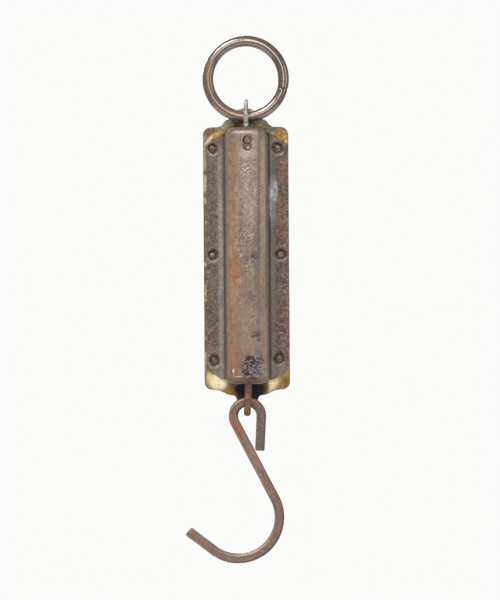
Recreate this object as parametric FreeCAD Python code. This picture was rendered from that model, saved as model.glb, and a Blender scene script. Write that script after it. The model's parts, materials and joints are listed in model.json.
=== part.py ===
import FreeCAD, Part
import math
import os

# Hanging spring scale (straight pattern): a graduated brass face plate and a drawn sheet-iron back cover riveted
# together round an extension spring.  A notched hanger strap carries the top of the spring, the cover and the
# suspension ring.  A notched draw bar carries the bottom of the spring, the index and the load hook.
# Millimetres.  +Z is up, along the load line; -Y is the cover (back) side, +Y the graduated face.
# The origin is the bearing point of the suspension ring: the top of the inside of the ring.

V = FreeCAD.Vector

# ---- driving dimensions ----
RING_WIRE = 4.8           # suspension ring wire diameter
RING_R = 16.75            # ring centreline radius
RING_GAP = 0.25           # butt seam in the ring
RING_SEAM_DEG = -15.5     # seam direction, from +X towards +Z

PLATE_T = 1.3             # brass face plate
PLATE_HW = 19.05          # half width
PLATE_X = -0.2            # the plate sits a little to one side of the load line
PLATE_TOP = -35.1         # shoulder heights
PLATE_BOT = -152.3
PLATE_R = 3.4             # corner radius
LOBE_TOP = -26.6          # round lobe at the top end
TAB_R = 4.75              # round tab at the bottom end
TAB_BOT = -159.2
PLATE_Y0 = 8.2            # inner surface of the plate

SHEET = 0.8               # cover sheet thickness
COVER_X = 0.15            # flange centre
COVER_HW = 18.6           # flange half width
TROUGH_TOP = -36.0        # outer ends of the trough
TROUGH_BOT = -149.3
TROUGH_HW_FOOT = 10.2     # outer half width at the flange
TROUGH_HW_CROWN = 9.3     # outer half width at the crown, before rounding
CROWN_Y = -9.0            # outer surface of the crown
CROWN_RISE = 0.8          # extra rise of the crown's arc
SHOULDER_R = 3.4          # rounded shoulders of the crown, on all four sides
CORNER_TOP_R = 5.6        # upright corners of the closed ends
CORNER_BOT_R = 3.9
FOOT_R = 2.5              # flare where the trough meets the flange
FLANGE_TOP_OUT = -43.2    # flange ends slope
FLANGE_TOP_IN = -38.6
FLANGE_BOT_OUT = -143.2
FLANGE_BOT_IN = -147.6

# rivets: name, x, z (hand punched, so each one sits a little off the grid)
RIVETS = (("rivet_upper_left", -15.1, -44.8), ("rivet_upper_right", 14.0, -44.7), ("rivet_middle_left", -15.3, -92.3),
          ("rivet_middle_right", 14.9, -92.0), ("rivet_lower_left", -14.7, -139.2), ("rivet_lower_right", 13.9, -138.3))
RIVET_SHANK_R = 1.2
RIVET_HOLE_R = 1.25
RIVET_HEAD_R = 1.75

STRAP_T = 2.0             # hanger strap thickness (along X)
STRAP_W = 7.4             # hanger strap width (along Y)
HEAD_X = 0.6              # the peened tenon head is beaten over to one side
EDGE_R = 0.8              # rolled edges of its eye
EYE_TOP = -23.3
EYE_R = 5.0
TENON_Z = (-45.6, -41.2)  # tenon through the crown
BAR_T = 3.0               # draw bar
BAR_W = 8.0
BAR_EDGE_R = 0.7          # rolled edges
BAR_EYE_EDGE_R = 1.25
BAR_EYE_R = 6.3
BAR_EYE_HOLE_R = 3.0

WIRE = 1.8                # spring wire
COIL_R = 6.6              # spring mean radius
COIL_TOP = -47.6          # wire centre at the top end
PITCH_END = 2.7
PITCH_MID = 1.88
TURNS_END = 2.5
TURNS_MID = 18.0

TRAVEL = 44.0             # full-load travel of the draw bar
LUG_Z = -99.7             # index lug centre at zero load
STOP_Z = -103.1           # overload stop pin at zero load
LUG_H = 4.0
LUG_T = 2.4
SLOT_W = 3.4

HOOK_A = 4.2              # hook stock, square with rounded edges
HOOK_CR = 1.1
HOOK_LOOP_R = 6.2
HOOK_LOOP_C = (-0.3, -163.6)
HOOK_BOWL_C = (-4.6, -208.5)
HOOK_SHANK_DEG = 27.3     # lean of the shank from vertical
HOOK_TIP_DEG = 37.5
HOOK_TIP_L = 13.9
HOOK_TAIL = (5.15, -179.0)

RING_CZ = -(RING_R - RING_WIRE / 2)       # ring centre
RING_PIVOT_Z = RING_CZ - RING_R           # centre of the ring wire inside the hanger eye
HOOK_PIVOT_Z = HOOK_LOOP_C[1] + math.sqrt(HOOK_LOOP_R ** 2 - HOOK_LOOP_C[0] ** 2)


def export(shape, name):
    shape = shape.removeSplitter() if len(shape.Solids) == 1 else shape
    if not shape.isValid():
        print("INVALID", name)
    shape.exportStep("parts/%s.step" % name)
    print("%-24s solids %d volume %.1f" % (name, len(shape.Solids), shape.Volume))


def box(x0, x1, y0, y1, z0, z1):
    return Part.makeBox(x1 - x0, y1 - y0, z1 - z0, V(x0, y0, z0))


def prism_xz(edges, y0, y1):
    """Face from a closed list of edges drawn in the plane y = y0, pushed to y1."""
    face = Part.Face(Part.Wire(Part.__sortEdges__(edges)))
    return face.extrude(V(0, y1 - y0, 0))


def arc3(a, b, c):
    return Part.Arc(a, b, c).toShape()


def line(a, b):
    return Part.LineSegment(a, b).toShape()


# ---- suspension ring ----
def suspension_ring():
    ring = Part.makeTorus(RING_R, RING_WIRE / 2, V(0, 0, RING_CZ), V(0, 1, 0))
    a = math.radians(RING_SEAM_DEG)
    cut = Part.makeBox(8, 8, RING_GAP, V(RING_R - 4, -4, -RING_GAP / 2))
    cut.rotate(V(0, 0, 0), V(0, 1, 0), -math.degrees(a) + 1.5)
    cut.translate(V(0, 0, RING_CZ))
    # the ends are sawn a little off square to the ring
    return ring.cut(cut)


# ---- face plate outline: rounded shoulders, concave sweeps up to a ledge, then a round lobe or tab ----
def plate_outline(y):
    def P(x, z):
        return V(PLATE_X + x, y, z)

    hw, r = PLATE_HW, PLATE_R
    s = math.sqrt(0.5)
    e = []
    for m in (1, -1):
        e.append(line(P(m * hw, PLATE_TOP - r), P(m * hw, PLATE_BOT + r)))
        # top end
        e.append(arc3(P(m * hw, PLATE_TOP - r), P(m * (hw - r + r * s), PLATE_TOP - (r - r * s)), P(m * (hw - r), PLATE_TOP)))
        e.append(line(P(m * (hw - r), PLATE_TOP), P(m * 12.4, PLATE_TOP + 0.15)))
        e.append(arc3(P(m * 12.4, PLATE_TOP + 0.15), P(m * 10.5, PLATE_TOP + 1.25), P(m * 9.5, PLATE_TOP + 2.55)))
        e.append(arc3(P(m * 9.5, PLATE_TOP + 2.55), P(m * 8.6, PLATE_TOP + 3.3), P(m * 7.5, PLATE_TOP + 3.45)))
        # bottom end
        e.append(arc3(P(m * hw, PLATE_BOT + r), P(m * (hw - r + r * s), PLATE_BOT + (r - r * s)), P(m * (hw - r), PLATE_BOT)))
        e.append(line(P(m * (hw - r), PLATE_BOT), P(m * 13.0, PLATE_BOT - 0.25)))
        e.append(arc3(P(m * 13.0, PLATE_BOT - 0.25), P(m * 11.2, PLATE_BOT - 0.95), P(m * 9.4, PLATE_BOT - 1.85)))
        e.append(arc3(P(m * 9.4, PLATE_BOT - 1.85), P(m * 8.2, PLATE_BOT - 2.3), P(m * 6.9, PLATE_BOT - 2.5)))
        e.append(arc3(P(m * 6.9, PLATE_BOT - 2.5), P(m * 5.3, PLATE_BOT - 3.2), P(m * TAB_R, PLATE_BOT - 4.6)))
    # lobe arc through its top and the two inner ends of the ledge
    e.append(arc3(P(-7.5, PLATE_TOP + 3.45), P(0, LOBE_TOP), P(7.5, PLATE_TOP + 3.45)))
    e.append(arc3(P(-TAB_R, PLATE_BOT - 4.6), P(0, TAB_BOT), P(TAB_R, PLATE_BOT - 4.6)))
    return e


def face_plate():
    p = prism_xz(plate_outline(PLATE_Y0), PLATE_Y0, PLATE_Y0 + PLATE_T)
    # slot for the index lug, rounded ends
    z0, z1 = LUG_Z + LUG_H / 2 + 1.2, LUG_Z - TRAVEL - LUG_H / 2 - 1.2
    h = SLOT_W / 2
    p = p.cut(box(-h, h, PLATE_Y0 - 1, PLATE_Y0 + PLATE_T + 1, z1 + h, z0 - h))
    for z in (z0 - h, z1 + h):
        p = p.cut(Part.makeCylinder(h, PLATE_T + 2, V(0, PLATE_Y0 - 1, z), V(0, 1, 0)))
    for name, x, z in RIVETS:
        p = p.cut(Part.makeCylinder(RIVET_HOLE_R, PLATE_T + 2, V(x, PLATE_Y0 - 1, z), V(0, 1, 0)))
    # mortise for the hanger's front tenon
    p = p.cut(box(-STRAP_T / 2 - 0.08, STRAP_T / 2 + 0.08, PLATE_Y0 - 1, PLATE_Y0 + PLATE_T + 1, TENON_Z[0] - 0.08, TENON_Z[1] + 0.08))
    return p


# ---- back cover: drawn trough with closed ends and sloped-end flanges ----
FLANGE_Y = PLATE_Y0 - SHEET


def trough_block(inset, foot_y):
    """Solid of the trough's outside, moved in by inset on every wall."""
    slope = (TROUGH_HW_FOOT - TROUGH_HW_CROWN) / (FLANGE_Y - CROWN_Y)
    crown = CROWN_Y + inset
    edge = crown + CROWN_RISE
    hw = lambda y: TROUGH_HW_FOOT - inset - slope * (FLANGE_Y - y)
    z0, z1 = TROUGH_BOT + inset, TROUGH_TOP - inset
    P = lambda x, y: V(x, y, z0)
    e = [line(P(-hw(foot_y), foot_y), P(-hw(edge), edge)), arc3(P(-hw(edge), edge), P(0, crown), P(hw(edge), edge)),
         line(P(hw(edge), edge), P(hw(foot_y), foot_y)), line(P(hw(foot_y), foot_y), P(-hw(foot_y), foot_y))]
    block = Part.Face(Part.Wire(Part.__sortEdges__(e))).extrude(V(0, 0, z1 - z0))
    mid = (z0 + z1) / 2
    for top, r in ((True, CORNER_TOP_R), (False, CORNER_BOT_R)):
        upright = [ed for ed in block.Edges if ed.BoundBox.YLength > 10 and ed.BoundBox.ZLength < 1e-3 and (ed.BoundBox.ZMin > mid) == top]
        block = block.makeFillet(r - inset, upright)
    rim = [ed for ed in block.Edges if ed.BoundBox.YMax < edge + 0.1 + inset]
    return block.makeFillet(SHOULDER_R - inset, rim)


def back_cover():
    outer = trough_block(0.0, PLATE_Y0)
    inner = trough_block(SHEET, PLATE_Y0 + 1.0)
    P = lambda x, z: V(COVER_X + x, FLANGE_Y, z)
    hw = COVER_HW
    pts = [P(-hw, FLANGE_TOP_OUT), P(-11.6, FLANGE_TOP_IN), P(-9.3, TROUGH_TOP - 1.5), P(9.3, TROUGH_TOP - 1.5), P(11.6, FLANGE_TOP_IN), P(hw, FLANGE_TOP_OUT),
           P(hw, FLANGE_BOT_OUT), P(11.8, FLANGE_BOT_IN), P(9.3, TROUGH_BOT + 1.5), P(-9.3, TROUGH_BOT + 1.5), P(-11.8, FLANGE_BOT_IN), P(-hw, FLANGE_BOT_OUT)]
    outline = Part.Face(Part.makePolygon(pts + [pts[0]]))
    flange = outline.extrude(V(0, SHEET, 0))
    # the flare where the trough turns out into the flange, on both long sides
    slope = math.atan((TROUGH_HW_FOOT - TROUGH_HW_CROWN) / (FLANGE_Y - CROWN_Y))
    r = FOOT_R
    flares = []
    for m in (1, -1):
        # arc tangent to the wall and to the flange's outer face
        cx = TROUGH_HW_FOOT + r * (1 - math.sin(slope)) / math.cos(slope)
        cy = FLANGE_Y - r
        wx, wy = cx - r * math.cos(slope), cy + r * math.sin(slope)
        mid = (slope + math.pi / 2) / 2
        Q = lambda x, y: V(m * x, y, TROUGH_BOT)
        e = [arc3(Q(wx - 0.03, wy), Q(cx - r * math.cos(mid), cy + r * math.sin(mid)), Q(cx, FLANGE_Y + 0.02)),
             line(Q(cx, FLANGE_Y + 0.02), Q(wx - 0.03, FLANGE_Y + 0.02)), line(Q(wx - 0.03, FLANGE_Y + 0.02), Q(wx - 0.03, wy))]
        flares.append(Part.Face(Part.Wire(Part.__sortEdges__(e))).extrude(V(0, 0, TROUGH_TOP - TROUGH_BOT)))
    trim = outline.extrude(V(0, 20, 0))
    trim.translate(V(0, -12, 0))
    flares = [f.common(trim) for f in flares]
    shell = outer.fuse([flange] + flares)
    cover = shell.cut(inner)
    for name, x, z in RIVETS:
        cover = cover.cut(Part.makeCylinder(RIVET_HOLE_R, 4, V(x, PLATE_Y0 - 2.5, z), V(0, 1, 0)))
    # mortise for the hanger tenon in the crown, a little wider than the tenon
    w = 1.2
    zc0, zc1 = TENON_Z[0] - 0.6 + w, TENON_Z[1] + 0.6 - w
    cover = cover.cut(box(-w, w, CROWN_Y - 1, CROWN_Y + 3, zc0, zc1))
    for z in (zc0, zc1):
        cover = cover.cut(Part.makeCylinder(w, 4, V(0, CROWN_Y - 1, z), V(0, 1, 0)))
    # end slots for the hanger strap and the draw bar
    cover = cover.cut(box(-STRAP_T / 2 - 0.35, STRAP_T / 2 + 0.35, -STRAP_W / 2 - 0.4, STRAP_W / 2 + 0.4, TROUGH_TOP - 4, TROUGH_TOP + 3))
    cover = cover.cut(box(-BAR_T / 2 - 0.5, BAR_T / 2 + 0.5, -BAR_W / 2 - 0.6, BAR_W / 2 + 0.6, TROUGH_BOT - 3, TROUGH_BOT + 4))
    return cover


# ---- rivets ----
def rivet(x, z):
    y0 = PLATE_Y0 - SHEET
    y1 = PLATE_Y0 + PLATE_T
    shank = Part.makeCylinder(RIVET_SHANK_R, y1 - y0 + 0.1, V(x, y0 - 0.05, z), V(0, 1, 0))
    R = RIVET_HEAD_R

    def dome(h, base, sign):
        rr = (R * R + h * h) / (2 * h)
        ball = Part.makeSphere(rr, V(x, base + sign * (rr - h), z))
        cyl = Part.makeCylinder(R + 0.5, h + 0.4, V(x, base, z), V(0, -sign, 0))
        return ball.common(cyl)

    head = dome(0.75, y0 - 0.01, 1)
    tail = dome(0.3, y1 + 0.01, -1)
    return shank.fuse([head, tail])


# ---- helix law of the spring ----
def coil_z(phi):
    """Wire centre height after turning phi radians from the top end."""
    t = phi / (2 * math.pi)
    a, m = TURNS_END, TURNS_MID
    if t <= a:
        d = PITCH_END * t
    elif t <= a + m:
        d = PITCH_END * a + PITCH_MID * (t - a)
    else:
        d = PITCH_END * a + PITCH_MID * m + PITCH_END * (t - a - m)
    return COIL_TOP - d


TURNS = 2 * TURNS_END + TURNS_MID
COIL_BOT = coil_z(2 * math.pi * TURNS)


def main_spring():
    n = 14
    total = int(round(TURNS * n))
    pts = []
    for i in range(total + 1):
        phi = 2 * math.pi * i / n
        pts.append(V(COIL_R * math.cos(phi), COIL_R * math.sin(phi), coil_z(phi)))
    curve = Part.BSplineCurve()
    curve.interpolate(Points=pts)
    path = Part.Wire([curve.toShape()])
    start = curve.value(curve.FirstParameter)
    tan = curve.tangent(curve.FirstParameter)[0]
    prof = Part.Wire([Part.makeCircle(WIRE / 2, start, tan)])
    return path.makePipeShell([prof], True, True)


def crossings(side, phi0, phi1):
    """Heights at which the coil crosses x = 0 on the +Y (side 1) or -Y (side -1) side, for phi0 <= phi <= phi1."""
    out = []
    k = 0
    while True:
        phi = (math.pi / 2 if side > 0 else 3 * math.pi / 2) + 2 * math.pi * k
        if phi > phi1 + 1e-9:
            return out
        if phi >= phi0 - 1e-9:
            out.append(coil_z(phi))
        k += 1


def notch(shape, t, side, z):
    y = COIL_R - WIRE / 2 - 0.35
    b = box(-t, t, min(side * y, side * 12), max(side * y, side * 12), z - WIRE / 2 - 0.17, z + WIRE / 2 + 0.17)
    return shape.cut(b)


TOOTH_Y = 6.9             # notched ends reach this far from the axis, between the coils


# ---- hanger strap: teardrop eye, body, tenons, notched tail ----
def hanger_strap():
    x = -STRAP_T / 2
    P = lambda y, z: V(x, y, z)
    cz = RING_PIVOT_Z
    tip_r = 2.2
    tz = EYE_TOP - tip_r
    # teardrop: big circle round the hole, small circle at the tip, joined by tangent lines
    d = tz - cz
    a = math.asin((EYE_R - tip_r) / d)
    ca, sa = math.cos(a), math.sin(a)
    drop = [arc3(P(-EYE_R * ca, cz + EYE_R * sa), P(0, cz - EYE_R), P(EYE_R * ca, cz + EYE_R * sa)),
            line(P(EYE_R * ca, cz + EYE_R * sa), P(tip_r * ca, tz + tip_r * sa)),
            arc3(P(tip_r * ca, tz + tip_r * sa), P(0, EYE_TOP), P(-tip_r * ca, tz + tip_r * sa)),
            line(P(-tip_r * ca, tz + tip_r * sa), P(-EYE_R * ca, cz + EYE_R * sa))]
    eye = Part.Face(Part.Wire(Part.__sortEdges__(drop))).extrude(V(STRAP_T, 0, 0))
    eye = eye.makeFillet(EDGE_R, [ed for ed in eye.Edges if ed.BoundBox.XLength < 1e-3])
    tail_end = crossings(1, 0, 2 * math.pi * TURNS_END)[1] - WIRE / 2 - 0.17 - 0.6
    body = box(x, -x, -STRAP_W / 2, STRAP_W / 2, -47.2, cz)
    body = body.makeFillet(0.5, [ed for ed in body.Edges if ed.BoundBox.ZLength > 3])
    # shoulders under the tenons
    tenon = box(x, -x, CROWN_Y - 0.15, PLATE_Y0 + PLATE_T + 0.05, TENON_Z[0], TENON_Z[1])
    waist = box(x, -x, -(COIL_R - WIRE / 2 - 0.35), COIL_R - WIRE / 2 - 0.35, tail_end, -46.0)
    teeth = box(x, -x, -TOOTH_Y, TOOTH_Y, tail_end, COIL_TOP + 0.6)
    s = eye.fuse([body, tenon, waist, teeth])
    s = s.cut(Part.makeCylinder(RING_WIRE / 2 + 0.22, 10, V(-5, 0, cz), V(1, 0, 0)))
    for side in (1, -1):
        for z in crossings(side, 0, 2 * math.pi * (TURNS_END + 0.5)):
            s = notch(s, STRAP_T, side, z)
    # drop the first half coil's own corner: the wire starts at phi = 0
    # peened head of the rear tenon
    y = CROWN_Y - 0.02
    zc = (TENON_Z[0] + TENON_Z[1]) / 2
    head = None
    for z, r in ((zc + 1.4, 1.6), (zc - 1.45, 1.55)):
        lobe = Part.makeCylinder(r, 0.5, V(HEAD_X, y - 0.5, z), V(0, 1, 0))
        lobe = lobe.makeFillet(0.4, [ed for ed in lobe.Edges if ed.BoundBox.YMax < y - 0.45])
        head = lobe if head is None else head.fuse(lobe)
    return s.fuse(head)


# ---- draw bar: notched head, index lug, body, eye ----
def draw_bar():
    x = -BAR_T / 2
    phi_end = 2 * math.pi * TURNS
    zs = crossings(1, phi_end - 2 * math.pi * TURNS_END, phi_end)
    zs2 = crossings(-1, phi_end - 2 * math.pi * TURNS_END, phi_end)
    allz = sorted(zs + zs2)
    head_top = allz[1] + WIRE / 2 + 0.17 + 0.6 + 0.0
    lug_y = PLATE_Y0 - 1.1
    body = box(x, -x, -BAR_W / 2, BAR_W / 2, HOOK_PIVOT_Z, LUG_Z + 2)
    body = body.makeFillet(BAR_EDGE_R, [ed for ed in body.Edges if ed.BoundBox.ZLength > 30])
    waist = box(x, -x, -(COIL_R - WIRE / 2 - 0.35), COIL_R - WIRE / 2 - 0.35, LUG_Z, head_top)
    teeth = box(x, -x, -TOOTH_Y, TOOTH_Y, COIL_BOT - 0.6, head_top)
    lug = box(x, -x, 0, lug_y, LUG_Z - LUG_H / 2, LUG_Z + LUG_H / 2)
    tongue = box(-LUG_T / 2, LUG_T / 2, 0, PLATE_Y0 + PLATE_T + 0.15 + 1.0 + 0.4, LUG_Z - 1.2, LUG_Z + 1.2)
    eye = Part.makeCylinder(BAR_EYE_R, BAR_T, V(x, 0, HOOK_PIVOT_Z), V(1, 0, 0))
    eye = eye.makeFillet(BAR_EYE_EDGE_R, [ed for ed in eye.Edges if ed.BoundBox.XLength < 1e-3])
    b = body.fuse([waist, teeth, lug, tongue, eye])
    b = b.cut(Part.makeCylinder(BAR_EYE_HOLE_R, 10, V(-5, 0, HOOK_PIVOT_Z), V(1, 0, 0)))
    for z in zs:
        b = notch(b, BAR_T, 1, z)
    for z in zs2:
        b = notch(b, BAR_T, -1, z)
    # holes for the stop pin and the spring keeper
    b = b.cut(Part.makeCylinder(1.02, 10, V(-5, 0, STOP_Z), V(1, 0, 0)))
    return b


def overload_stop_pin():
    return Part.makeCylinder(1.0, 9.0, V(-4.5, 0, STOP_Z), V(1, 0, 0))


def index_slider():
    y0 = PLATE_Y0 - 0.95
    s = box(-4.2, 4.2, y0, y0 + 0.8, LUG_Z - 3.4, LUG_Z + 3.4)
    s = s.makeFillet(1.2, [e for e in s.Edges if abs(e.BoundBox.YLength - 0.8) < 1e-6])
    return s.cut(box(-LUG_T / 2 - 0.06, LUG_T / 2 + 0.06, y0 - 1, y0 + 3, LUG_Z - 1.26, LUG_Z + 1.26))


def index_pointer():
    y0 = PLATE_Y0 + PLATE_T + 0.15
    P = lambda x, z: V(x, y0, LUG_Z + z)
    pts = [P(-7.2, 0), P(-3.0, 1.5), P(-2.2, 2.4), P(2.2, 2.4), P(3.0, 1.5), P(7.2, 0), P(3.0, -1.5), P(2.2, -2.4), P(-2.2, -2.4), P(-3.0, -1.5)]
    s = Part.Face(Part.makePolygon(pts + [pts[0]])).extrude(V(0, 1.0, 0))
    return s.cut(box(-LUG_T / 2 - 0.05, LUG_T / 2 + 0.05, y0 - 1, y0 + 3, LUG_Z - 1.25, LUG_Z + 1.25))


# ---- load hook ----
def load_hook():
    y = 0.0
    P = lambda q: V(q[0], y, q[1])
    a = math.radians(HOOK_SHANK_DEG)
    d = (math.sin(a), -math.cos(a))
    n = (math.cos(a), math.sin(a))            # to the right of the shank
    c1, r1 = HOOK_LOOP_C, HOOK_LOOP_R
    t1 = (c1[0] - r1 * n[0], c1[1] - r1 * n[1])
    c2 = HOOK_BOWL_C
    r2 = abs((c2[0] - t1[0]) * d[1] - (c2[1] - t1[1]) * d[0])
    t2 = (c2[0] + r2 * n[0], c2[1] + r2 * n[1])
    b = math.radians(HOOK_TIP_DEG)
    u = (-math.cos(b), math.sin(b))
    t3 = (c2[0] - r2 * math.sin(b), c2[1] - r2 * math.cos(b))
    tip = (t3[0] + HOOK_TIP_L * u[0], t3[1] + HOOK_TIP_L * u[1])
    # tail line tangent to the loop on its right side
    tx, tz = HOOK_TAIL
    dx, dz = tx - c1[0], tz - c1[1]
    dist = math.hypot(dx, dz)
    base = math.atan2(dz, dx)
    off = math.acos(r1 / dist)
    t0 = (c1[0] + r1 * math.cos(base + off), c1[1] + r1 * math.sin(base + off))
    m2 = math.radians(-45)
    mid2 = ((c2[0] + r2 * math.cos(m2)), c2[1] + r2 * math.sin(m2))
    edges = [line(P(HOOK_TAIL), P(t0)), arc3(P(t0), P((c1[0], c1[1] + r1)), P(t1)), line(P(t1), P(t2)), arc3(P(t2), P(mid2), P(t3)), line(P(t3), P(tip))]
    path = Part.Wire(edges)
    # rounded-square section square to the first edge
    h, r = HOOK_A / 2, HOOK_CR
    t = V(t0[0] - tx, 0, t0[1] - tz)
    t.normalize()
    ex = V(0, 1, 0)
    ey = t.cross(ex)
    o = P(HOOK_TAIL)
    Q = lambda p, q: o + ex * p + ey * q
    s = math.sqrt(0.5)
    e = []
    for sx, sy in ((1, 1), (1, -1), (-1, -1), (-1, 1)):
        e.append(arc3(Q(sx * h, sy * (h - r)), Q(sx * (h - r + r * s), sy * (h - r + r * s)), Q(sx * (h - r), sy * h)))
    e += [line(Q(h, -(h - r)), Q(h, h - r)), line(Q(-h, -(h - r)), Q(-h, h - r)), line(Q(-(h - r), h), Q(h - r, h)), line(Q(-(h - r), -h), Q(h - r, -h))]
    prof = Part.Wire(Part.__sortEdges__(e))
    print("hook bowl centreline radius %.2f, tip %.2f %.2f, length %.1f" % (r2, tip[0], tip[1], path.Length))
    return path.makePipeShell([prof], True, False)


def main():
    os.makedirs("parts", exist_ok=True)
    export(suspension_ring(), "suspension_ring")
    export(face_plate(), "face_plate")
    export(back_cover(), "back_cover")
    export(hanger_strap(), "hanger_strap")
    for name, x, z in RIVETS:
        export(rivet(x, z), name)
    export(main_spring(), "main_spring")
    export(draw_bar(), "draw_bar")
    export(overload_stop_pin(), "overload_stop_pin")
    export(index_slider(), "index_slider")
    export(index_pointer(), "index_pointer")
    export(load_hook(), "load_hook")
    print("pivots", RING_PIVOT_Z, HOOK_PIVOT_Z, "coil bottom", COIL_BOT)


main()
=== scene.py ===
import bpy, bmesh, json, math
import numpy as np
from mathutils import Vector, Matrix


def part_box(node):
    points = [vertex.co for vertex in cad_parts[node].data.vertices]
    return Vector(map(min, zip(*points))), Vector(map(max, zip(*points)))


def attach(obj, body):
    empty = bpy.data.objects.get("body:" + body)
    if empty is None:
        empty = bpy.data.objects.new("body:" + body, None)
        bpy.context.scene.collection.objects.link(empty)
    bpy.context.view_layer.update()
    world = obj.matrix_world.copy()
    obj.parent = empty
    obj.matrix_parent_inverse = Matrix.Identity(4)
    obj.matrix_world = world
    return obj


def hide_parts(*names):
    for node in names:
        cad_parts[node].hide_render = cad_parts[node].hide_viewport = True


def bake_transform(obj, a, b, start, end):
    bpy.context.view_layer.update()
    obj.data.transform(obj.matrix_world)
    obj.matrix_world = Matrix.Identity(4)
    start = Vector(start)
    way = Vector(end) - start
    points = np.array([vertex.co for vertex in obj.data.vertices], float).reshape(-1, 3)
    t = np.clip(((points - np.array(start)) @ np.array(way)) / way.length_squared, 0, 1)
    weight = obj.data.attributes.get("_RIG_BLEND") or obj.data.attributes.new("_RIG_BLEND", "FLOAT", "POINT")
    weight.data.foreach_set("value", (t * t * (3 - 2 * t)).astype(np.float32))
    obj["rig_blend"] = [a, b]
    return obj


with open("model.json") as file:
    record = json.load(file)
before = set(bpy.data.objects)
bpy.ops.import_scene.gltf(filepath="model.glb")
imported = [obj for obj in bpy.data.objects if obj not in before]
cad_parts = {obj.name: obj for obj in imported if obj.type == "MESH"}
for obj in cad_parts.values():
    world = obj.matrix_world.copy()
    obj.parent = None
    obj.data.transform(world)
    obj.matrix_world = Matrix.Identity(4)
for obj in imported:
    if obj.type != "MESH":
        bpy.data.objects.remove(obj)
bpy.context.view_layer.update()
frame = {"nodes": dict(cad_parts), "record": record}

MM = 0.001
scene = bpy.context.scene
coll = scene.collection
rec = frame["record"]
JOINT = {j["name"]: j for j in rec["behaviour"]["joints"]}


def nb(name):
    """A node's box in millimetres."""
    lo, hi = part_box(name)
    return np.array(lo) * 1000, np.array(hi) * 1000


# ------------------------------------------------------------------ noise
def _h(i, j, k, seed):
    n = (i * 73856093) ^ (j * 19349663) ^ (k * 83492791) ^ (seed * 2654435761 & 0xFFFFFFFF)
    n = n & 0xFFFFFFFF
    n = (((n >> 16) ^ n) * 0x45D9F3B) & 0xFFFFFFFF
    n = (((n >> 16) ^ n) * 0x45D9F3B) & 0xFFFFFFFF
    n = (n >> 16) ^ n
    return n / 4294967295.0


def vn(p, s, seed=0):
    """Value noise, -1 to 1, with features about s wide (s may be a 3-vector)."""
    q = p / np.asarray(s, float)
    i = np.floor(q).astype(np.int64)
    f = q - i
    f = f * f * f * (f * (f * 6 - 15) + 10)
    r = np.zeros(len(p))
    for dx in (0, 1):
        wx = f[:, 0] if dx else 1 - f[:, 0]
        for dy in (0, 1):
            wy = f[:, 1] if dy else 1 - f[:, 1]
            for dz in (0, 1):
                wz = f[:, 2] if dz else 1 - f[:, 2]
                r += wx * wy * wz * _h(i[:, 0] + dx, i[:, 1] + dy, i[:, 2] + dz, seed)
    return r * 2 - 1


def fbm(p, s, seed=0, octaves=4, gain=0.5):
    s = np.asarray(s, float)
    a, t, out = 1.0, 0.0, np.zeros(len(p))
    for o in range(octaves):
        out += a * vn(p + 17.3 * o, s / 2 ** o, seed + 31 * o)
        t += a
        a *= gain
    return out / t * 1.6


def worley(p, s, seed=0):
    """Distance to the nearest and second nearest feature point, and that point's random number."""
    q = p / np.asarray(s, float)
    i = np.floor(q).astype(np.int64)
    f1 = np.full(len(p), 9.0)
    f2 = np.full(len(p), 9.0)
    rid = np.zeros(len(p))
    for dx in (-1, 0, 1):
        for dy in (-1, 0, 1):
            for dz in (-1, 0, 1):
                a, b, c = i[:, 0] + dx, i[:, 1] + dy, i[:, 2] + dz
                fx = a + _h(a, b, c, seed)
                fy = b + _h(a, b, c, seed + 1)
                fz = c + _h(a, b, c, seed + 2)
                d = np.sqrt((q[:, 0] - fx) ** 2 + (q[:, 1] - fy) ** 2 + (q[:, 2] - fz) ** 2)
                r = _h(a, b, c, seed + 3)
                near = d < f1
                f2 = np.where(near, f1, np.minimum(f2, d))
                rid = np.where(near, r, rid)
                f1 = np.where(near, d, f1)
    return f1, f2, rid


def sst(a, b, x):
    t = np.clip((x - a) / (b - a), 0, 1)
    return t * t * (3 - 2 * t)


def blob(x, z, cx, cz, rx, rz, soft=0.5):
    """1 inside an ellipse, 0 outside."""
    d = np.sqrt(((x - cx) / rx) ** 2 + ((z - cz) / rz) ** 2)
    return 1 - sst(1 - soft, 1 + soft, d)


def lin(rgb):
    c = np.array(rgb, float) / 255
    return np.where(c <= 0.04045, c / 12.92, ((c + 0.055) / 1.055) ** 2.4)


def mix(a, b, t):
    t = np.asarray(t)[..., None]
    return a * (1 - t) + b * t


# ------------------------------------------------------------------ meshes
def make(name, verts_mm, faces, smooth=True):
    me = bpy.data.meshes.new(name)
    me.from_pydata((np.asarray(verts_mm) * MM).tolist(), [], faces)
    me.validate()
    me.update()
    ob = bpy.data.objects.new(name, me)
    coll.objects.link(ob)
    if smooth:
        me.polygons.foreach_set("use_smooth", np.ones(len(me.polygons), bool))
    return ob


def get_co(ob):
    n = len(ob.data.vertices)
    a = np.empty(n * 3, np.float32)
    ob.data.vertices.foreach_get("co", a)
    return a.reshape(-1, 3).astype(float) * 1000


def get_no(ob):
    n = len(ob.data.vertices)
    a = np.empty(n * 3, np.float32)
    ob.data.vertex_normals.foreach_get("vector", a)
    return a.reshape(-1, 3).astype(float)


def set_co(ob, co):
    ob.data.vertices.foreach_set("co", (co * MM).astype(np.float32).ravel())
    ob.data.update()


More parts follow.
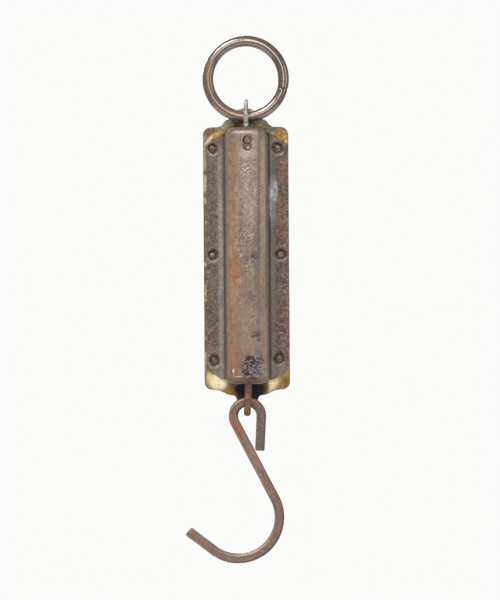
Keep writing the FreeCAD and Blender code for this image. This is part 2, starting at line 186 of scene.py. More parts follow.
def paint(ob, rgb, rough, metal=None, grain=None):
    """Per-vertex colour (linear), roughness, metal and grain strength that the materials read."""
    n = len(ob.data.vertices)
    col = ob.data.attributes.new("patina", "FLOAT_COLOR", "POINT")
    c = np.ones((n, 4), np.float32)
    c[:, :3] = np.clip(rgb, 0, 1)
    col.data.foreach_set("color", c.ravel())
    for nm, val in (("rough", rough), ("metal", metal), ("grain", grain)):
        if val is None:
            continue
        at = ob.data.attributes.new(nm, "FLOAT", "POINT")
        at.data.foreach_set("value", np.broadcast_to(np.asarray(val, np.float32), (n,)).copy())


def remesh_node(name, voxel, out, smooth=2, bevel=0.0):
    """A dense even mesh with the outside of a CAD node."""
    src = frame["nodes"][name]
    ob = bpy.data.objects.new(out, src.data.copy())
    ob.data.materials.clear()
    coll.objects.link(ob)
    bm = bmesh.new()
    bm.from_mesh(ob.data)
    bmesh.ops.remove_doubles(bm, verts=bm.verts, dist=1e-6)
    bm.to_mesh(ob.data)
    bm.free()
    m = ob.modifiers.new("r", "REMESH")
    m.mode = "VOXEL"
    m.voxel_size = voxel * MM
    m.adaptivity = 0.0
    m.use_smooth_shade = True
    if smooth:
        s = ob.modifiers.new("s", "SMOOTH")
        s.factor, s.iterations = 0.5, smooth
    dg = bpy.context.evaluated_depsgraph_get()
    me = bpy.data.meshes.new_from_object(ob.evaluated_get(dg))
    ob.modifiers.clear()
    old = ob.data
    ob.data = me
    bpy.data.meshes.remove(old)
    me.name = out
    for a in [a.name for a in me.attributes if a.name not in ("position", ".edge_verts", ".corner_vert", ".corner_edge", "sharp_face")]:
        try:
            me.attributes.remove(me.attributes[a])
        except Exception:
            pass
    me.polygons.foreach_set("use_smooth", np.ones(len(me.polygons), bool))
    me.update()
    return ob


def sweep(name, pts, tans, side, section, closed_ends=True, scale=None):
    """Sweep a closed 2-D section (n x 2, mm) along pts; side is the fixed second axis of each section frame."""
    pts, tans = np.asarray(pts), np.asarray(tans)
    m, n = len(pts), len(section)
    ups = np.cross(tans, side)
    ups /= np.linalg.norm(ups, axis=1)[:, None]
    if scale is None:
        scale = np.ones(m)
    v = pts[:, None, :] + (section[None, :, 0:1] * side[None, None, :] + section[None, :, 1:2] * ups[:, None, :]) * scale[:, None, None]
    v = v.reshape(-1, 3)
    faces = []
    for i in range(m - 1):
        for j in range(n):
            a, b = i * n + j, i * n + (j + 1) % n
            faces.append((a, a + n, b + n, b))
    if closed_ends:
        v = np.vstack([v, pts[0][None], pts[-1][None]])
        c0, c1 = m * n, m * n + 1
        for j in range(n):
            faces.append((c0, j, (j + 1) % n))
            faces.append((c1, (m - 1) * n + (j + 1) % n, (m - 1) * n + j))
    return v, faces


def fix_normals(ob):
    bm = bmesh.new()
    bm.from_mesh(ob.data)
    bmesh.ops.recalc_face_normals(bm, faces=bm.faces)
    bm.to_mesh(ob.data)
    bm.free()
    ob.data.update()


# ------------------------------------------------------------------ materials
def node_mat(name):
    m = bpy.data.materials.new(name)
    m.use_nodes = True
    nt = m.node_tree
    nt.nodes.clear()
    out = nt.nodes.new("ShaderNodeOutputMaterial")
    b = nt.nodes.new("ShaderNodeBsdfPrincipled")
    nt.links.new(b.outputs[0], out.inputs[0])
    return m, nt, b


def metal_mat(name, grain_mm=0.22, bump=0.25, var=0.28, metallic=None, speck=0.35, spec=0.5, tint=(0.5, 0.5, 0.5), ior=1.5, stretch=(1, 1, 1), rough_var=0.18):
    """Aged metal: the patina colour, roughness and metal of each point, broken up by fine grain, specks and bump."""
    m, nt, b = node_mat(name)
    N, L = nt.nodes.new, nt.links.new
    tc = N("ShaderNodeTexCoord")
    mp = N("ShaderNodeMapping")
    mp.inputs["Scale"].default_value = stretch
    L(tc.outputs["Object"], mp.inputs["Vector"])
    col = N("ShaderNodeAttribute")
    col.attribute_name = "patina"
    ro = N("ShaderNodeAttribute")
    ro.attribute_name = "rough"
    gr = N("ShaderNodeAttribute")
    gr.attribute_name = "grain"
    n1 = N("ShaderNodeTexNoise")
    n1.inputs["Scale"].default_value = 1 / (grain_mm * MM) / 2
    n1.inputs["Detail"].default_value = 5
    n1.inputs["Roughness"].default_value = 0.65
    L(mp.outputs[0], n1.inputs["Vector"])
    n2 = N("ShaderNodeTexNoise")
    n2.inputs["Scale"].default_value = 1 / (grain_mm * 6 * MM) / 2
    n2.inputs["Detail"].default_value = 6
    n2.inputs["Roughness"].default_value = 0.6
    L(mp.outputs[0], n2.inputs["Vector"])
    vo = N("ShaderNodeTexVoronoi")
    vo.inputs["Scale"].default_value = 1 / (grain_mm * 2.6 * MM) / 2
    L(mp.outputs[0], vo.inputs["Vector"])
    # colour: patina x (1 + fine variation), dark specks
    r1 = N("ShaderNodeMapRange")
    r1.inputs["From Min"].default_value, r1.inputs["From Max"].default_value = 0.3, 0.7
    r1.inputs["To Min"].default_value, r1.inputs["To Max"].default_value = 1 - var, 1 + var
    L(n1.outputs["Fac"], r1.inputs["Value"])
    r2 = N("ShaderNodeMapRange")
    r2.inputs["From Min"].default_value, r2.inputs["From Max"].default_value = 0.3, 0.7
    r2.inputs["To Min"].default_value, r2.inputs["To Max"].default_value = 1 - var * 0.6, 1 + var * 0.6
    L(n2.outputs["Fac"], r2.inputs["Value"])
    mu = N("ShaderNodeMath")
    mu.operation = "MULTIPLY"
    L(r1.outputs[0], mu.inputs[0])
    L(r2.outputs[0], mu.inputs[1])
    sp = N("ShaderNodeMapRange")
    sp.inputs["From Min"].default_value, sp.inputs["From Max"].default_value = 0.05, 0.32
    sp.inputs["To Min"].default_value, sp.inputs["To Max"].default_value = 1 - speck, 1.0
    L(vo.outputs["Distance"], sp.inputs["Value"])
    mu2 = N("ShaderNodeMath")
    mu2.operation = "MULTIPLY"
    L(mu.outputs[0], mu2.inputs[0])
    L(sp.outputs[0], mu2.inputs[1])
    vm = N("ShaderNodeVectorMath")
    vm.operation = "SCALE"
    L(col.outputs["Color"], vm.inputs[0])
    L(mu2.outputs[0], vm.inputs["Scale"])
    L(vm.outputs["Vector"], b.inputs["Base Color"])
    # roughness
    r3 = N("ShaderNodeMapRange")
    r3.inputs["From Min"].default_value, r3.inputs["From Max"].default_value = 0.3, 0.7
    r3.inputs["To Min"].default_value, r3.inputs["To Max"].default_value = -rough_var, rough_var
    L(n2.outputs["Fac"], r3.inputs["Value"])
    ad = N("ShaderNodeMath")
    ad.operation = "ADD"
    ad.use_clamp = True
    L(ro.outputs["Fac"], ad.inputs[0])
    L(r3.outputs[0], ad.inputs[1])
    L(ad.outputs[0], b.inputs["Roughness"])
    if metallic is None:
        me = N("ShaderNodeAttribute")
        me.attribute_name = "metal"
        L(me.outputs["Fac"], b.inputs["Metallic"])
    else:
        b.inputs["Metallic"].default_value = metallic
    b.inputs["Specular IOR Level"].default_value = spec
    # bump
    mb = N("ShaderNodeMath")
    mb.operation = "MULTIPLY"
    L(n1.outputs["Fac"], mb.inputs[0])
    L(gr.outputs["Fac"], mb.inputs[1])
    bp = N("ShaderNodeBump")
    bp.inputs["Strength"].default_value = bump
    bp.inputs["Distance"].default_value = 0.12 * MM
    L(mb.outputs[0], bp.inputs["Height"])
    L(bp.outputs[0], b.inputs["Normal"])
    return m


M_COVER = metal_mat("cover_rust", 0.16, 0.55, 0.30, None, 0.35, 0.45)
M_RING = metal_mat("ring_patina", 0.14, 0.035, 0.09, None, 0.06, 0.5, rough_var=0.06)
M_HOOK = metal_mat("hook_rust", 0.12, 0.30, 0.16, None, 0.20, 0.45)
M_BRASS = metal_mat("plate_brass", 0.14, 0.10, 0.08, None, 0.04, 0.5)
M_STEEL = metal_mat("worn_steel", 0.10, 0.25, 0.16, None, 0.15, 0.5)
M_BAR = metal_mat("bar_rust", 0.12, 0.45, 0.22, None, 0.25, 0.45)


def add_mat(ob, mat):
    ob.data.materials.clear()
    ob.data.materials.append(mat)


# ------------------------------------------------------------------ suspension ring
def build_ring():
    lo, hi = nb("suspension_ring")
    R_out = (hi[0] - lo[0]) / 2
    w = (hi[1] - lo[1]) / 2
    R = R_out - w
    cz = (lo[2] + hi[2]) / 2
    seam = math.radians(-15.5)
    gap = 0.11 / R
    m, n = 720, 56
    a = seam + gap + (2 * math.pi - 2 * gap) * np.linspace(0, 1, m)
    # the cut ends are a little off square
    ph = np.linspace(0, 2 * math.pi, n, endpoint=False)
    V = []
    for i, t in enumerate(a):
        rr = R + w * np.cos(ph)
        end = min(i, m - 1 - i)
        rnd = 1.0 if end > 3 else (0.93, 0.965, 0.985, 0.995)[end]
        rr = R + w * rnd * np.cos(ph)
        skew = 0.013 * np.cos(ph) * (1 - sst(0, 0.12, np.array(min(t - a[0], a[-1] - t))))
        tt = t + skew
        V.append(np.stack([rr * np.cos(tt), w * rnd * np.sin(ph), cz + rr * np.sin(tt)], 1))
    V = np.array(V).reshape(-1, 3)
    F = []
    for i in range(m - 1):
        for j in range(n):
            p, q = i * n + j, i * n + (j + 1) % n
            F.append((p, p + n, q + n, q))
    c0 = V[:n].mean(0)
    c1 = V[-n:].mean(0)
    V = np.vstack([V, c0, c1])
    for j in range(n):
        F.append((m * n, j, (j + 1) % n))
        F.append((m * n + 1, (m - 1) * n + (j + 1) % n, (m - 1) * n + j))
    ob = make("ring_wire", V, F)
    fix_normals(ob)
    co, no = get_co(ob), get_no(ob)
    ang = np.arctan2(co[:, 2] - cz, co[:, 0])
    # worn and hammered: long shallow dents, fine pits towards the lower left
    f1, f2, rid = worley(co, 0.55, 5)
    low = sst(-0.2, 0.8, np.cos(ang - math.radians(215)))
    pit = sst(0.45, 0.1, f1) * (rid > 0.62) * sst(0.15, 0.9, low)
    d = 0.03 * fbm(co, 7, 3, 3) - 0.05 * pit + 0.004 * fbm(co, 1.2, 9, 2)
    co2 = co + no * np.minimum(d, 0.03)[:, None]
    set_co(ob, co2)
    base = lin((126, 116, 110))
    warm = lin((136, 110, 95))
    dark = lin((94, 83, 78))
    g = fbm(co, 5, 21, 4)
    rgb = mix(np.broadcast_to(base, co.shape), warm, np.clip(0.15 + 0.75 * low + 0.35 * g, 0, 1) * 0.8)
    rgb = mix(rgb, dark, sst(0.25, 0.9, fbm(co, (2.6, 1.6, 2.6), 33, 3)) * 0.4)
    rgb = mix(rgb, lin((205, 160, 138)), pit * sst(0.8, 0.95, rid) * 0.8)
    rgb = mix(rgb, dark * 0.6, pit * (rid < 0.8) * 0.6)
    end = 1 - sst(0, 0.02, np.minimum(np.abs(ang - seam) , 9))
    rgb = mix(rgb, dark * 0.4, end * 0.7)
    # the wire's inner and outer edges, where it turns away from the view, are painted darker as shade
    side = np.abs((np.hypot(co[:, 0], co[:, 2] - cz) - R) / w)
    rgb = mix(rgb, dark * 0.9, sst(0.75, 1.0, side) * 0.25)
    paint(ob, rgb, 0.19 + 0.03 * g + 0.2 * pit + 0.06 * low, 0.74 - 0.15 * low, 0.15 + 0.6 * low)
    add_mat(ob, M_RING)
    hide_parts("suspension_ring")
    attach(ob, "ring")


# ------------------------------------------------------------------ load hook
HOOK = dict(a=4.2, cr=1.35, r1=6.2, c1=(-0.3, -163.6), c2=(-4.6, -208.5), sh=27.3, tp=37.5, tl=13.9, tail=(5.15, -179.0))


def hook_path(step=0.22):
    a = math.radians(HOOK["sh"])
    n = np.array((math.cos(a), math.sin(a)))
    d = np.array((math.sin(a), -math.cos(a)))
    c1, r1 = np.array(HOOK["c1"]), HOOK["r1"]
    t1 = c1 - r1 * n
    c2 = np.array(HOOK["c2"])
    r2 = abs((c2[0] - t1[0]) * d[1] - (c2[1] - t1[1]) * d[0])
    t2 = c2 + r2 * n
    b = math.radians(HOOK["tp"])
    u = np.array((-math.cos(b), math.sin(b)))
    t3 = c2 - r2 * np.array((math.sin(b), math.cos(b)))
    tip = t3 + HOOK["tl"] * u
    tail = np.array(HOOK["tail"])
    dd = tail - c1
    base = math.atan2(dd[1], dd[0])
    off = math.acos(r1 / np.hypot(*dd))
    a0 = base + off
    t0 = c1 + r1 * np.array((math.cos(a0), math.sin(a0)))
    P = []

    def seg(p, q):
        k = max(2, int(np.hypot(*(q - p)) / step))
        for i in range(k):
            P.append(p + (q - p) * i / k)

    def arc(c, r, s, e):
        k = max(2, int(abs(e - s) * r / step))
        for i in range(k):
            t = s + (e - s) * i / k
            P.append(c + r * np.array((math.cos(t), math.sin(t))))

    seg(tail, t0)
    e1 = math.pi + a
    arc(c1, r1, a0, e1)
    seg(t1, t2)
    arc(c2, r2, a, -math.pi / 2 - b)
    seg(t3, tip)
    P.append(tip)
    P = np.array(P)
    T = np.gradient(P, axis=0)
    T /= np.linalg.norm(T, axis=1)[:, None]
    return P, T


def rsquare(a, r, n):
    """Rounded square, evenly spaced points."""
    h = a / 2
    s = h - r
    per = 8 * s + 2 * math.pi * r
    out = []
    for i in range(n):
        t = per * i / n
        for k in range(4):
            L1, L2 = 2 * s, math.pi / 2 * r
            if t < L1:
                p = np.array((h, -s + t))
                break
            t -= L1
            if t < L2:
                q = t / r
                p = np.array((s + r * math.cos(q), s + r * math.sin(q)))
                break
            t -= L2
            if k == 3:
                p = np.array((h, -s))
        c, q = math.cos(math.pi / 2 * k), math.sin(math.pi / 2 * k)
        out.append((p[0] * c - p[1] * q, p[0] * q + p[1] * c))
    return np.array(out)


def build_hook():
    P, T = hook_path()
    m = len(P)
    sec = rsquare(HOOK["a"], HOOK["cr"], 64)
    pts = np.stack([P[:, 0], np.zeros(m), P[:, 1]], 1)
    tans = np.stack([T[:, 0], np.zeros(m), T[:, 1]], 1)
    sc = np.ones(m)
    for i, f in enumerate((0.90, 0.95, 0.98)):
        sc[i] = f
        sc[m - 1 - i] = f
    V, F = sweep("h", pts, tans, np.array((0.0, 1.0, 0.0)), sec, True, sc)
    ob = make("hook_bar", V, F)
    fix_normals(ob)
    co, no = get_co(ob), get_no(ob)
    n = len(sec)
    s = np.concatenate([np.repeat(np.arange(m) / (m - 1), n), [0, 1]])
    ringless = np.minimum(s, 1 - s) > 0.002
    f1, f2, rid = worley(co, 0.6, 15)
    bowl = sst(0.62, 0.72, s) * sst(0.97, 0.86, s)
    pit = sst(0.5, 0.1, f1) * (rid > 0.55)
    scr = sst(0.35, 0.8, vn(np.stack([co[:, 0] * 0.35 + co[:, 2] * 0.9, co[:, 1] * 0.25, co[:, 2]], 1), (0.35, 1.2, 2.4), 71)) * bowl
    d = 0.05 * fbm(co, 9, 13, 3) - 0.06 * pit * (0.4 + 0.6 * sst(-0.3, 0.5, fbm(co, 8, 91, 2))) + 0.02 * fbm(co, 0.9, 19, 3) - 0.05 * scr
    co2 = co + no * np.clip(d, -0.14, 0.05)[:, None]
    set_co(ob, co2)
    g = fbm(co, 7, 41, 4)
    g2 = fbm(co, 1.5, 43, 4)
    base, warm, grey, dark = lin((130, 105, 92)), lin((148, 104, 80)), lin((106, 94, 88)), lin((70, 56, 50))
    rgb = mix(np.broadcast_to(base, co.shape), warm, sst(-0.4, 0.9, g) * 0.8)
    tailm = sst(0.20, 0.12, s)
    rgb = mix(rgb, grey, np.clip(tailm * 0.8 + 0.4 * sst(0.1, 0.8, -g), 0, 1))
    rgb = mix(rgb, dark, sst(0.2, 0.9, g2) * 0.25)
    rgb = mix(rgb, dark * 0.7, pit * 0.35)
    rgb = mix(rgb, lin((185, 150, 135)), scr * 0.45)
    # the bevels are lighter, partly edges worn by handling and partly a painted highlight; the sides, turned away from
    # the view, are painted dark as shade
    edge = sst(0.25, 0.02, np.abs(np.abs(no[:, 1]) - 0.8))
    rgb = mix(rgb, lin((160, 134, 120)), edge * (0.25 + 0.4 * sst(0, 0.8, g2)))
    rgb = mix(rgb, lin((64, 52, 46)), sst(0.55, 0.15, np.abs(no[:, 1])) * 0.6)
    # light scuffs along the bowl and on the point
    scuff = np.clip(bowl * sst(0.30, 0.9, vn(np.stack([co[:, 0] + 0.4 * co[:, 2], co[:, 1], co[:, 2]], 1), (3.2, 1.6, 1.1), 77)) , 0, 1)
    rgb = mix(rgb, lin((196, 178, 168)), scuff * 0.65)
    eyem = sst(0.10, 0.16, s) * sst(0.36, 0.30, s)
    rgb = mix(rgb, lin((150, 100, 70)), eyem * sst(-0.4, 0.5, g2) * 0.55)
    rgb = mix(rgb, lin((58, 44, 38)), sst(0.35, 0.85, fbm(co, 0.8, 53, 3)) * 0.25)
    rgb = mix(rgb, lin((52, 42, 38)), np.maximum(sst(0.0025, 0.0, s), sst(0.9975, 1.0, s)) * 0.8)
    # faces turned away from the upper-left light (those towards the floor too) are painted dark as shade, those turned
    # part way to it get a painted highlight broken by streaks along the bar, and those turned fully to it are painted
    # darker again
    jj = np.concatenate([np.tile(np.arange(n), m), [0, 0]]) * 2 * math.pi / n
    run = np.stack([s * 139.0, 2.1 * np.cos(jj), 2.1 * np.sin(jj)], 1)
    streak = fbm(run, (9.0, 0.8, 0.8), 57, 4)
    streak2 = fbm(run, (3.0, 0.35, 0.35), 59, 3)
    rgb = mix(rgb, lin((112, 99, 92)), sst(0.50, 0.62, s) * 0.42)
    rgb = rgb * (1 + 0.22 * streak + 0.14 * streak2)[:, None]
    nl = (0.80 * no[:, 2] - 0.5 * no[:, 0])
    rgb = mix(rgb, lin((58, 43, 37)), sst(0.12, 0.5, -nl) * 0.72)
    rgb = mix(rgb, lin((196, 168, 152)), sst(0.15, 0.4, nl) * sst(0.9, 0.6, nl) * (0.30 + 0.5 * sst(-0.3, 0.6, streak)))
    rgb = mix(rgb, lin((74, 58, 50)), sst(0.7, 0.95, nl) * 0.6)
    rgb = mix(rgb, lin((96, 84, 78)), tailm * 0.55)
    tailsp = tailm * sst(0.35, 0.8, fbm(co, 0.7, 47, 3))
    rgb = mix(rgb, lin((158, 140, 130)), tailsp * 0.35)
    paint(ob, rgb, 0.50 + 0.08 * g + 0.15 * pit - 0.1 * scr, 0.45 + 0.2 * scr, 0.9)
    add_mat(ob, M_HOOK)
    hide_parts("load_hook")
    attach(ob, "hook")


# ------------------------------------------------------------------ back cover
RIV = {n: (nb(n)[0] + nb(n)[1]) / 2 for n in frame["nodes"] if n.startswith("rivet_")}


def build_cover():
    ob = remesh_node("back_cover", 0.22, "cover_sheet", 2)
    co, no = get_co(ob), get_no(ob)
    x, y, z = co.T
    lo, hi = nb("back_cover")
    crown_y, flange_y = lo[1], hi[1] - 0.8
    outer_flange = sst(-0.2, -0.7, no[:, 1]) * sst(flange_y - 3.0, flange_y - 1.2, y) * sst(9.5, 11.0, np.abs(x))
    crown = sst(crown_y + 3.6, crown_y + 1.2, y) * sst(0.1, -0.5, no[:, 1])
    wall = np.clip(1 - outer_flange - crown, 0, 1)
    # how rough each place is
    big = fbm(co, (7, 7, 16), 101, 4)
    med = fbm(co, 2.2, 103, 4)
    # pits in the flanges and along the middle of the crown
    pf = outer_flange * np.clip(0.45 + 0.6 * big + 0.45 * sst(-85, -110, z) + 0.35 * sst(8, 16, x), 0, 1)
    mid = crown * blob(x, z, 0.6, -86, 5.6, 46, 0.35) * np.clip(0.75 + 0.6 * big, 0, 1)
    fine0 = fbm(co, (1.6, 1.6, 1.1), 63, 3)
    wx, wz = x + 0.9 * vn(co, 2.0, 61), z + 1.1 * vn(co, 2.0, 67)
    flake = np.clip(blob(wx, wz, 1.9 + 0.10 * (z + 142), -142.2, 5.0, 6.9, 0.45) + 0.85 * blob(wx, wz, 4.1, -127.8, 2.3, 3.6, 0.6) + 0.75 * blob(wx, wz, 2.4, -111.3, 2.0, 2.9, 0.6)
                    + 0.8 * blob(wx, wz, 2.9, -93.8, 2.5, 3.6, 0.6) + 0.45 * blob(wx, wz, 3.9, -83.0, 1.6, 3.6, 0.6), 0, 1)
    flake = crown * flake * sst(-0.55, 0.35, 1.1 * fine0 + 1.9 * (flake - 0.55)) * np.where(z > -134, 0.72, 1.0)
    stain = crown * np.clip(blob(wx, wz, 4.6, -131, 2.0, 9.5, 0.4) + 0.7 * blob(wx, wz, 5.6, -143, 2.0, 7, 0.4), 0, 1)
    f1, f2, rid = worley(co, (0.75, 0.75, 0.75), 201)
    g1, g2, gid = worley(co, (0.42, 0.42, 0.42), 301)
    pit = sst(0.55, 0.12, f1) * (rid > 0.35)
    pit2 = sst(0.5, 0.1, g1) * (gid > 0.4)
    # crumpled scale: short ridges that run down to the right
    qd = np.stack([x * 0.82 - z * 0.57, y, x * 0.57 + z * 0.82], 1) + 0.45 * np.stack([med, med, med], 1)
    ridge = 1 - np.abs(fbm(qd, (2.4, 1.4, 0.72), 401, 2)) * 1.9
    ridge = np.clip(ridge, 0, 1) ** 2
    d = np.zeros(len(co))
    d -= 0.11 * pit * np.clip(pf + 0.75 * mid, 0, 1)
    d -= 0.07 * pit2 * np.clip(0.25 + pf + mid, 0, 1)
    d += 0.05 * fbm(co, 0.9, 511, 3) * np.clip(outer_flange * 0.9 + 0.6 * mid, 0, 1)
    d += flake * (0.30 * ridge - 0.19 + 0.05 * vn(co, 0.5, 405))
    d += 0.035 * fbm(co, 9, 501, 3) * (crown + outer_flange)
    # dimples round the rivets
    dim = np.zeros(len(co))
    rim = np.zeros(len(co))
    low_rim = np.zeros(len(co))
    top_rim = np.zeros(len(co))
    for k, c in enumerate(RIV.values()):
        ang = np.arctan2(z - c[2], x - c[0])
        r = np.hypot(x - c[0], z - c[2]) * (1 + 0.10 * vn(co, 2.2, 11) + 0.05 * np.cos(2 * ang + k))
        dim = np.maximum(dim, sst(2.75, 1.9, r))
        band = sst(2.2, 2.8, r) * sst(4.3, 3.2, r)
        rim = np.maximum(rim, band)
        low_rim = np.maximum(low_rim, band * sst(0.1, 0.9, -np.sin(ang + 0.25)))
        top_rim = np.maximum(top_rim, sst(3.6, 2.4, r) * sst(-0.2, 0.9, np.sin(ang - 0.35)))
    dim, rim, low_rim, top_rim = dim * outer_flange, rim * outer_flange, low_rim * outer_flange, top_rim * outer_flange
    # the metal is bruised round the two peened lobes of the hanger's tenon
    hz = (-45.6 - 41.2) / 2
    lobes = np.minimum(np.hypot(x - 0.6, z - hz - 1.4) - 1.6, np.hypot(x - 0.6, z - hz + 1.45) - 1.55)
    cut = sst(0.75, 0.25, lobes) * crown
    nd = -d
    co2 = co + no * np.clip(d, -0.22, 0.13)[:, None]
    co2[:, 1] += 0.40 * dim - 0.12 * rim - 0.10 * low_rim + 0.16 * cut
    # the left flange stops short of the plate's edge, most at the top; its slanted ends were snipped by hand
    co2[:, 0] += 0.75 * np.clip((z + 152) / 95, 0, 1) * sst(-13.5, -18, x)
    for zt, up in ((-38.6 - 4.6 * (np.abs(x - 0.15) - 10) / 8.6, 1), (-147.6 + 4.4 * (np.abs(x - 0.15) - 10) / 8.6, -1)):
        w = sst(1.1, 0.2, np.abs(z - zt)) * sst(10.6, 11.4, np.abs(x - 0.15))
        co2[:, 2] += w * (0.26 * vn(co * (1, 0, 1), 1.1, 613) - 0.10 * up)
    # the flange lifts a little from the plate in places, never into it
    lift = 0.12 * np.clip(fbm(co * (1, 0, 1), 22, 601, 2), 0, 1) * sst(11.5, 17, np.abs(x))
    co2[:, 1] -= lift * sst(flange_y - 1.5, flange_y, y)
    set_co(ob, co2)

    # ---- colour
    def C(*v):
        return lin(v)

    n_ = len(co)
    # u, v: a drawing grid of 0.443 mm, v downwards
    u = 247 + x / 0.443 + ((-30.86 - z) / 0.443 + 116.5 - 256) * 0.00698
    v = 116.5 + (-30.86 - z) / 0.443
    strk = fbm(co, (2.2, 2.2, 26), 701, 4)
    strk2 = fbm(co, (0.7, 0.7, 14), 702, 3)
    fine = fbm(co, 0.9, 703, 4)
    fine2 = fbm(co, 0.45, 707, 3)
    cloud = fbm(co, 5, 705, 4)
    # crown: brown steel, lighter down the middle, with long rusty streaks
    cr = np.broadcast_to(C(136, 119, 105), (n_, 3)).copy()
    cr = mix(cr, C(156, 136, 119), sst(-0.2, 0.7, strk) * 0.55)
    cr = mix(cr, C(112, 94, 82), sst(0.0, 0.8, -strk) * 0.5)
    cr = mix(cr, C(104, 86, 74), sst(0.25, 0.8, strk2) * 0.45)
    # beige bands are painted highlights along the left shoulder and along a faint ridge on the right side
    beige = np.clip(blob(u, v, 229.3, 250, 2.6, 125, 0.35) * 0.6 + blob(u, v, 262.8, 205, 2.4, 75, 0.35) + 0.6 * blob(u, v, 262.5, 330, 2.2, 50, 0.4), 0, 1)
    cr = mix(cr, C(160, 140, 121), beige * 0.7)
    cr = mix(cr, C(104, 90, 80), blob(u, v, 258.6, 200, 1.8, 75, 0.45) * 0.7)
    uo = u + 1.6 * cloud
    orange = np.clip(blob(uo, v, 235.0, 276, 6.8, 22, 0.55) + 0.6 * blob(uo, v, 233.4, 232, 3.0, 42, 0.5) + 0.6 * blob(uo, v, 233, 335, 6, 45, 0.5) + 0.55 * blob(uo, v, 233.2, 172, 3.4, 34, 0.6)
                     + 0.75 * blob(uo, v, 261, 286, 3.4, 13, 0.6) + 0.30 * blob(uo, v, 245, 325, 12, 34, 0.6) + 0.4 * blob(uo, v, 262, 352, 3, 22, 0.5), 0, 1)
    cr = mix(cr, C(146, 108, 84), orange * np.clip(0.75 + 0.4 * cloud, 0, 1) * 0.85)
    cr = mix(cr, C(148, 94, 66), np.clip(orange * sst(0.0, 0.8, cloud + 0.6 * strk), 0, 1) * 0.6)
    cr = mix(cr, C(166, 150, 136), blob(u, v, 248, 185, 9, 42, 0.45) * (0.45 + 0.35 * med))
    cr = mix(cr, C(86, 74, 66), np.clip(mid * pit * 0.8 + mid * pit2 * 0.5, 0, 1))
    gate = np.clip(0.35 + 0.9 * big + 0.5 * med, 0.1, 1)
    cr = mix(cr, C(210, 194, 178), np.clip(mid * gate * sst(0.22, 0.75, fine2), 0, 1) * 0.55)
    cr = mix(cr, C(88, 74, 66), np.clip(mid * gate * sst(0.22, 0.75, -fine2), 0, 1) * 0.55)
    cr = cr * (0.93 + 0.10 * fine2 + 0.10 * strk2 + 0.07 * med)[:, None] * np.array([[1.02, 0.985, 0.95]])
    bl = np.clip(0.8 * blob(u, v, 254, 178, 3, 6, 0.6) + 0.6 * blob(u, v, 258, 250, 4, 24, 0.6) + 0.45 * blob(u, v, 259, 300, 3.5, 22, 0.6), 0, 1)
    cr = mix(cr, C(86, 78, 88), bl * np.clip(0.42 + 1.1 * med, 0, 1) * 0.8)
    cr = cr * (1 - 0.10 * blob(u, v, 250, 345, 14, 45, 0.5) * (0.5 + med))[:, None]
    cr = mix(cr, C(112, 104, 104), stain * (0.55 + 0.35 * med))
    # flaking scale: the ridge tops are painted light as highlight and the creases painted dark as shade
    fl = mix(np.broadcast_to(C(98, 89, 88), (n_, 3)), C(176, 167, 165), np.clip(sst(0.55, 0.97, ridge), 0, 1) * 0.75)
    fl = mix(fl, C(30, 25, 29), sst(0.30, 0.02, ridge) * 0.75)
    fl = mix(fl, C(120, 92, 78), sst(0.2, 0.8, cloud) * 0.35)
    cr = mix(cr, fl, np.clip(flake * 1.25, 0, 1))
    # the top end is darker, with a painted highlight along its rounded edge
    top = sst(133.5, 129.0, v)
    cr = mix(cr, C(112, 86, 80), top * 0.8)
    cr = mix(cr, C(188, 168, 158), sst(131.5, 133, v) * sst(135.5, 134, v) * blob(u, v, 248, 134, 9, 4, 0.3) * 0.6)
    cr = mix(cr, C(160, 122, 114), blob(u, v, 254.5, 136, 2.6, 4.5, 0.4) * 0.6)
    cr = mix(cr, C(140, 138, 140), blob(u, v, 238, 135, 2.2, 2.6, 0.5) * 0.6)
    # the bottom end of the trough is painted darker as shade
    botm = sst(375, 381, v)
    cr = mix(cr, C(96, 64, 56), botm * 0.8)
    cr = mix(cr, C(150, 96, 84), blob(u, v, 235, 360, 3.5, 12, 0.6) * 0.5)
    # bright nicks and a long scratch near the bottom; the small upright mark is a painted highlight
    nick_and_glint = np.clip(blob(u, v, 233.6, 370.5, 0.7, 2.2, 0.3) + blob(u, v, 238.5, 376.3, 3.4, 0.5, 0.4) + blob(u, v, 237, 384, 2, 0.5, 0.4), 0, 1)
    cr = mix(cr, C(240, 205, 170), nick_and_glint * 0.9)
    # flanges
    left = (x < 0)
    fa = np.broadcast_to(C(104, 93, 90), (n_, 3)).copy()
    fa = mix(fa, C(78, 68, 70), sst(-0.1, 0.8, strk) * 0.55)
    rusty = np.where(left, sst(255, 310, v) * 0.9, 0.75) + 0.25 * big
    fa = mix(fa, C(110, 82, 68), np.clip(rusty, 0, 1) * sst(-0.5, 0.6, cloud) * 0.8)
    fa = mix(fa, C(132, 86, 66), np.clip(rusty * sst(0.3, 0.9, fine + 0.4 * cloud), 0, 1) * 0.5)
    fa = mix(fa, C(112, 70, 68), np.where(left, 0.35 * sst(275, 330, v), 0.55 * sst(300, 350, v)) * sst(-0.2, 0.6, med))
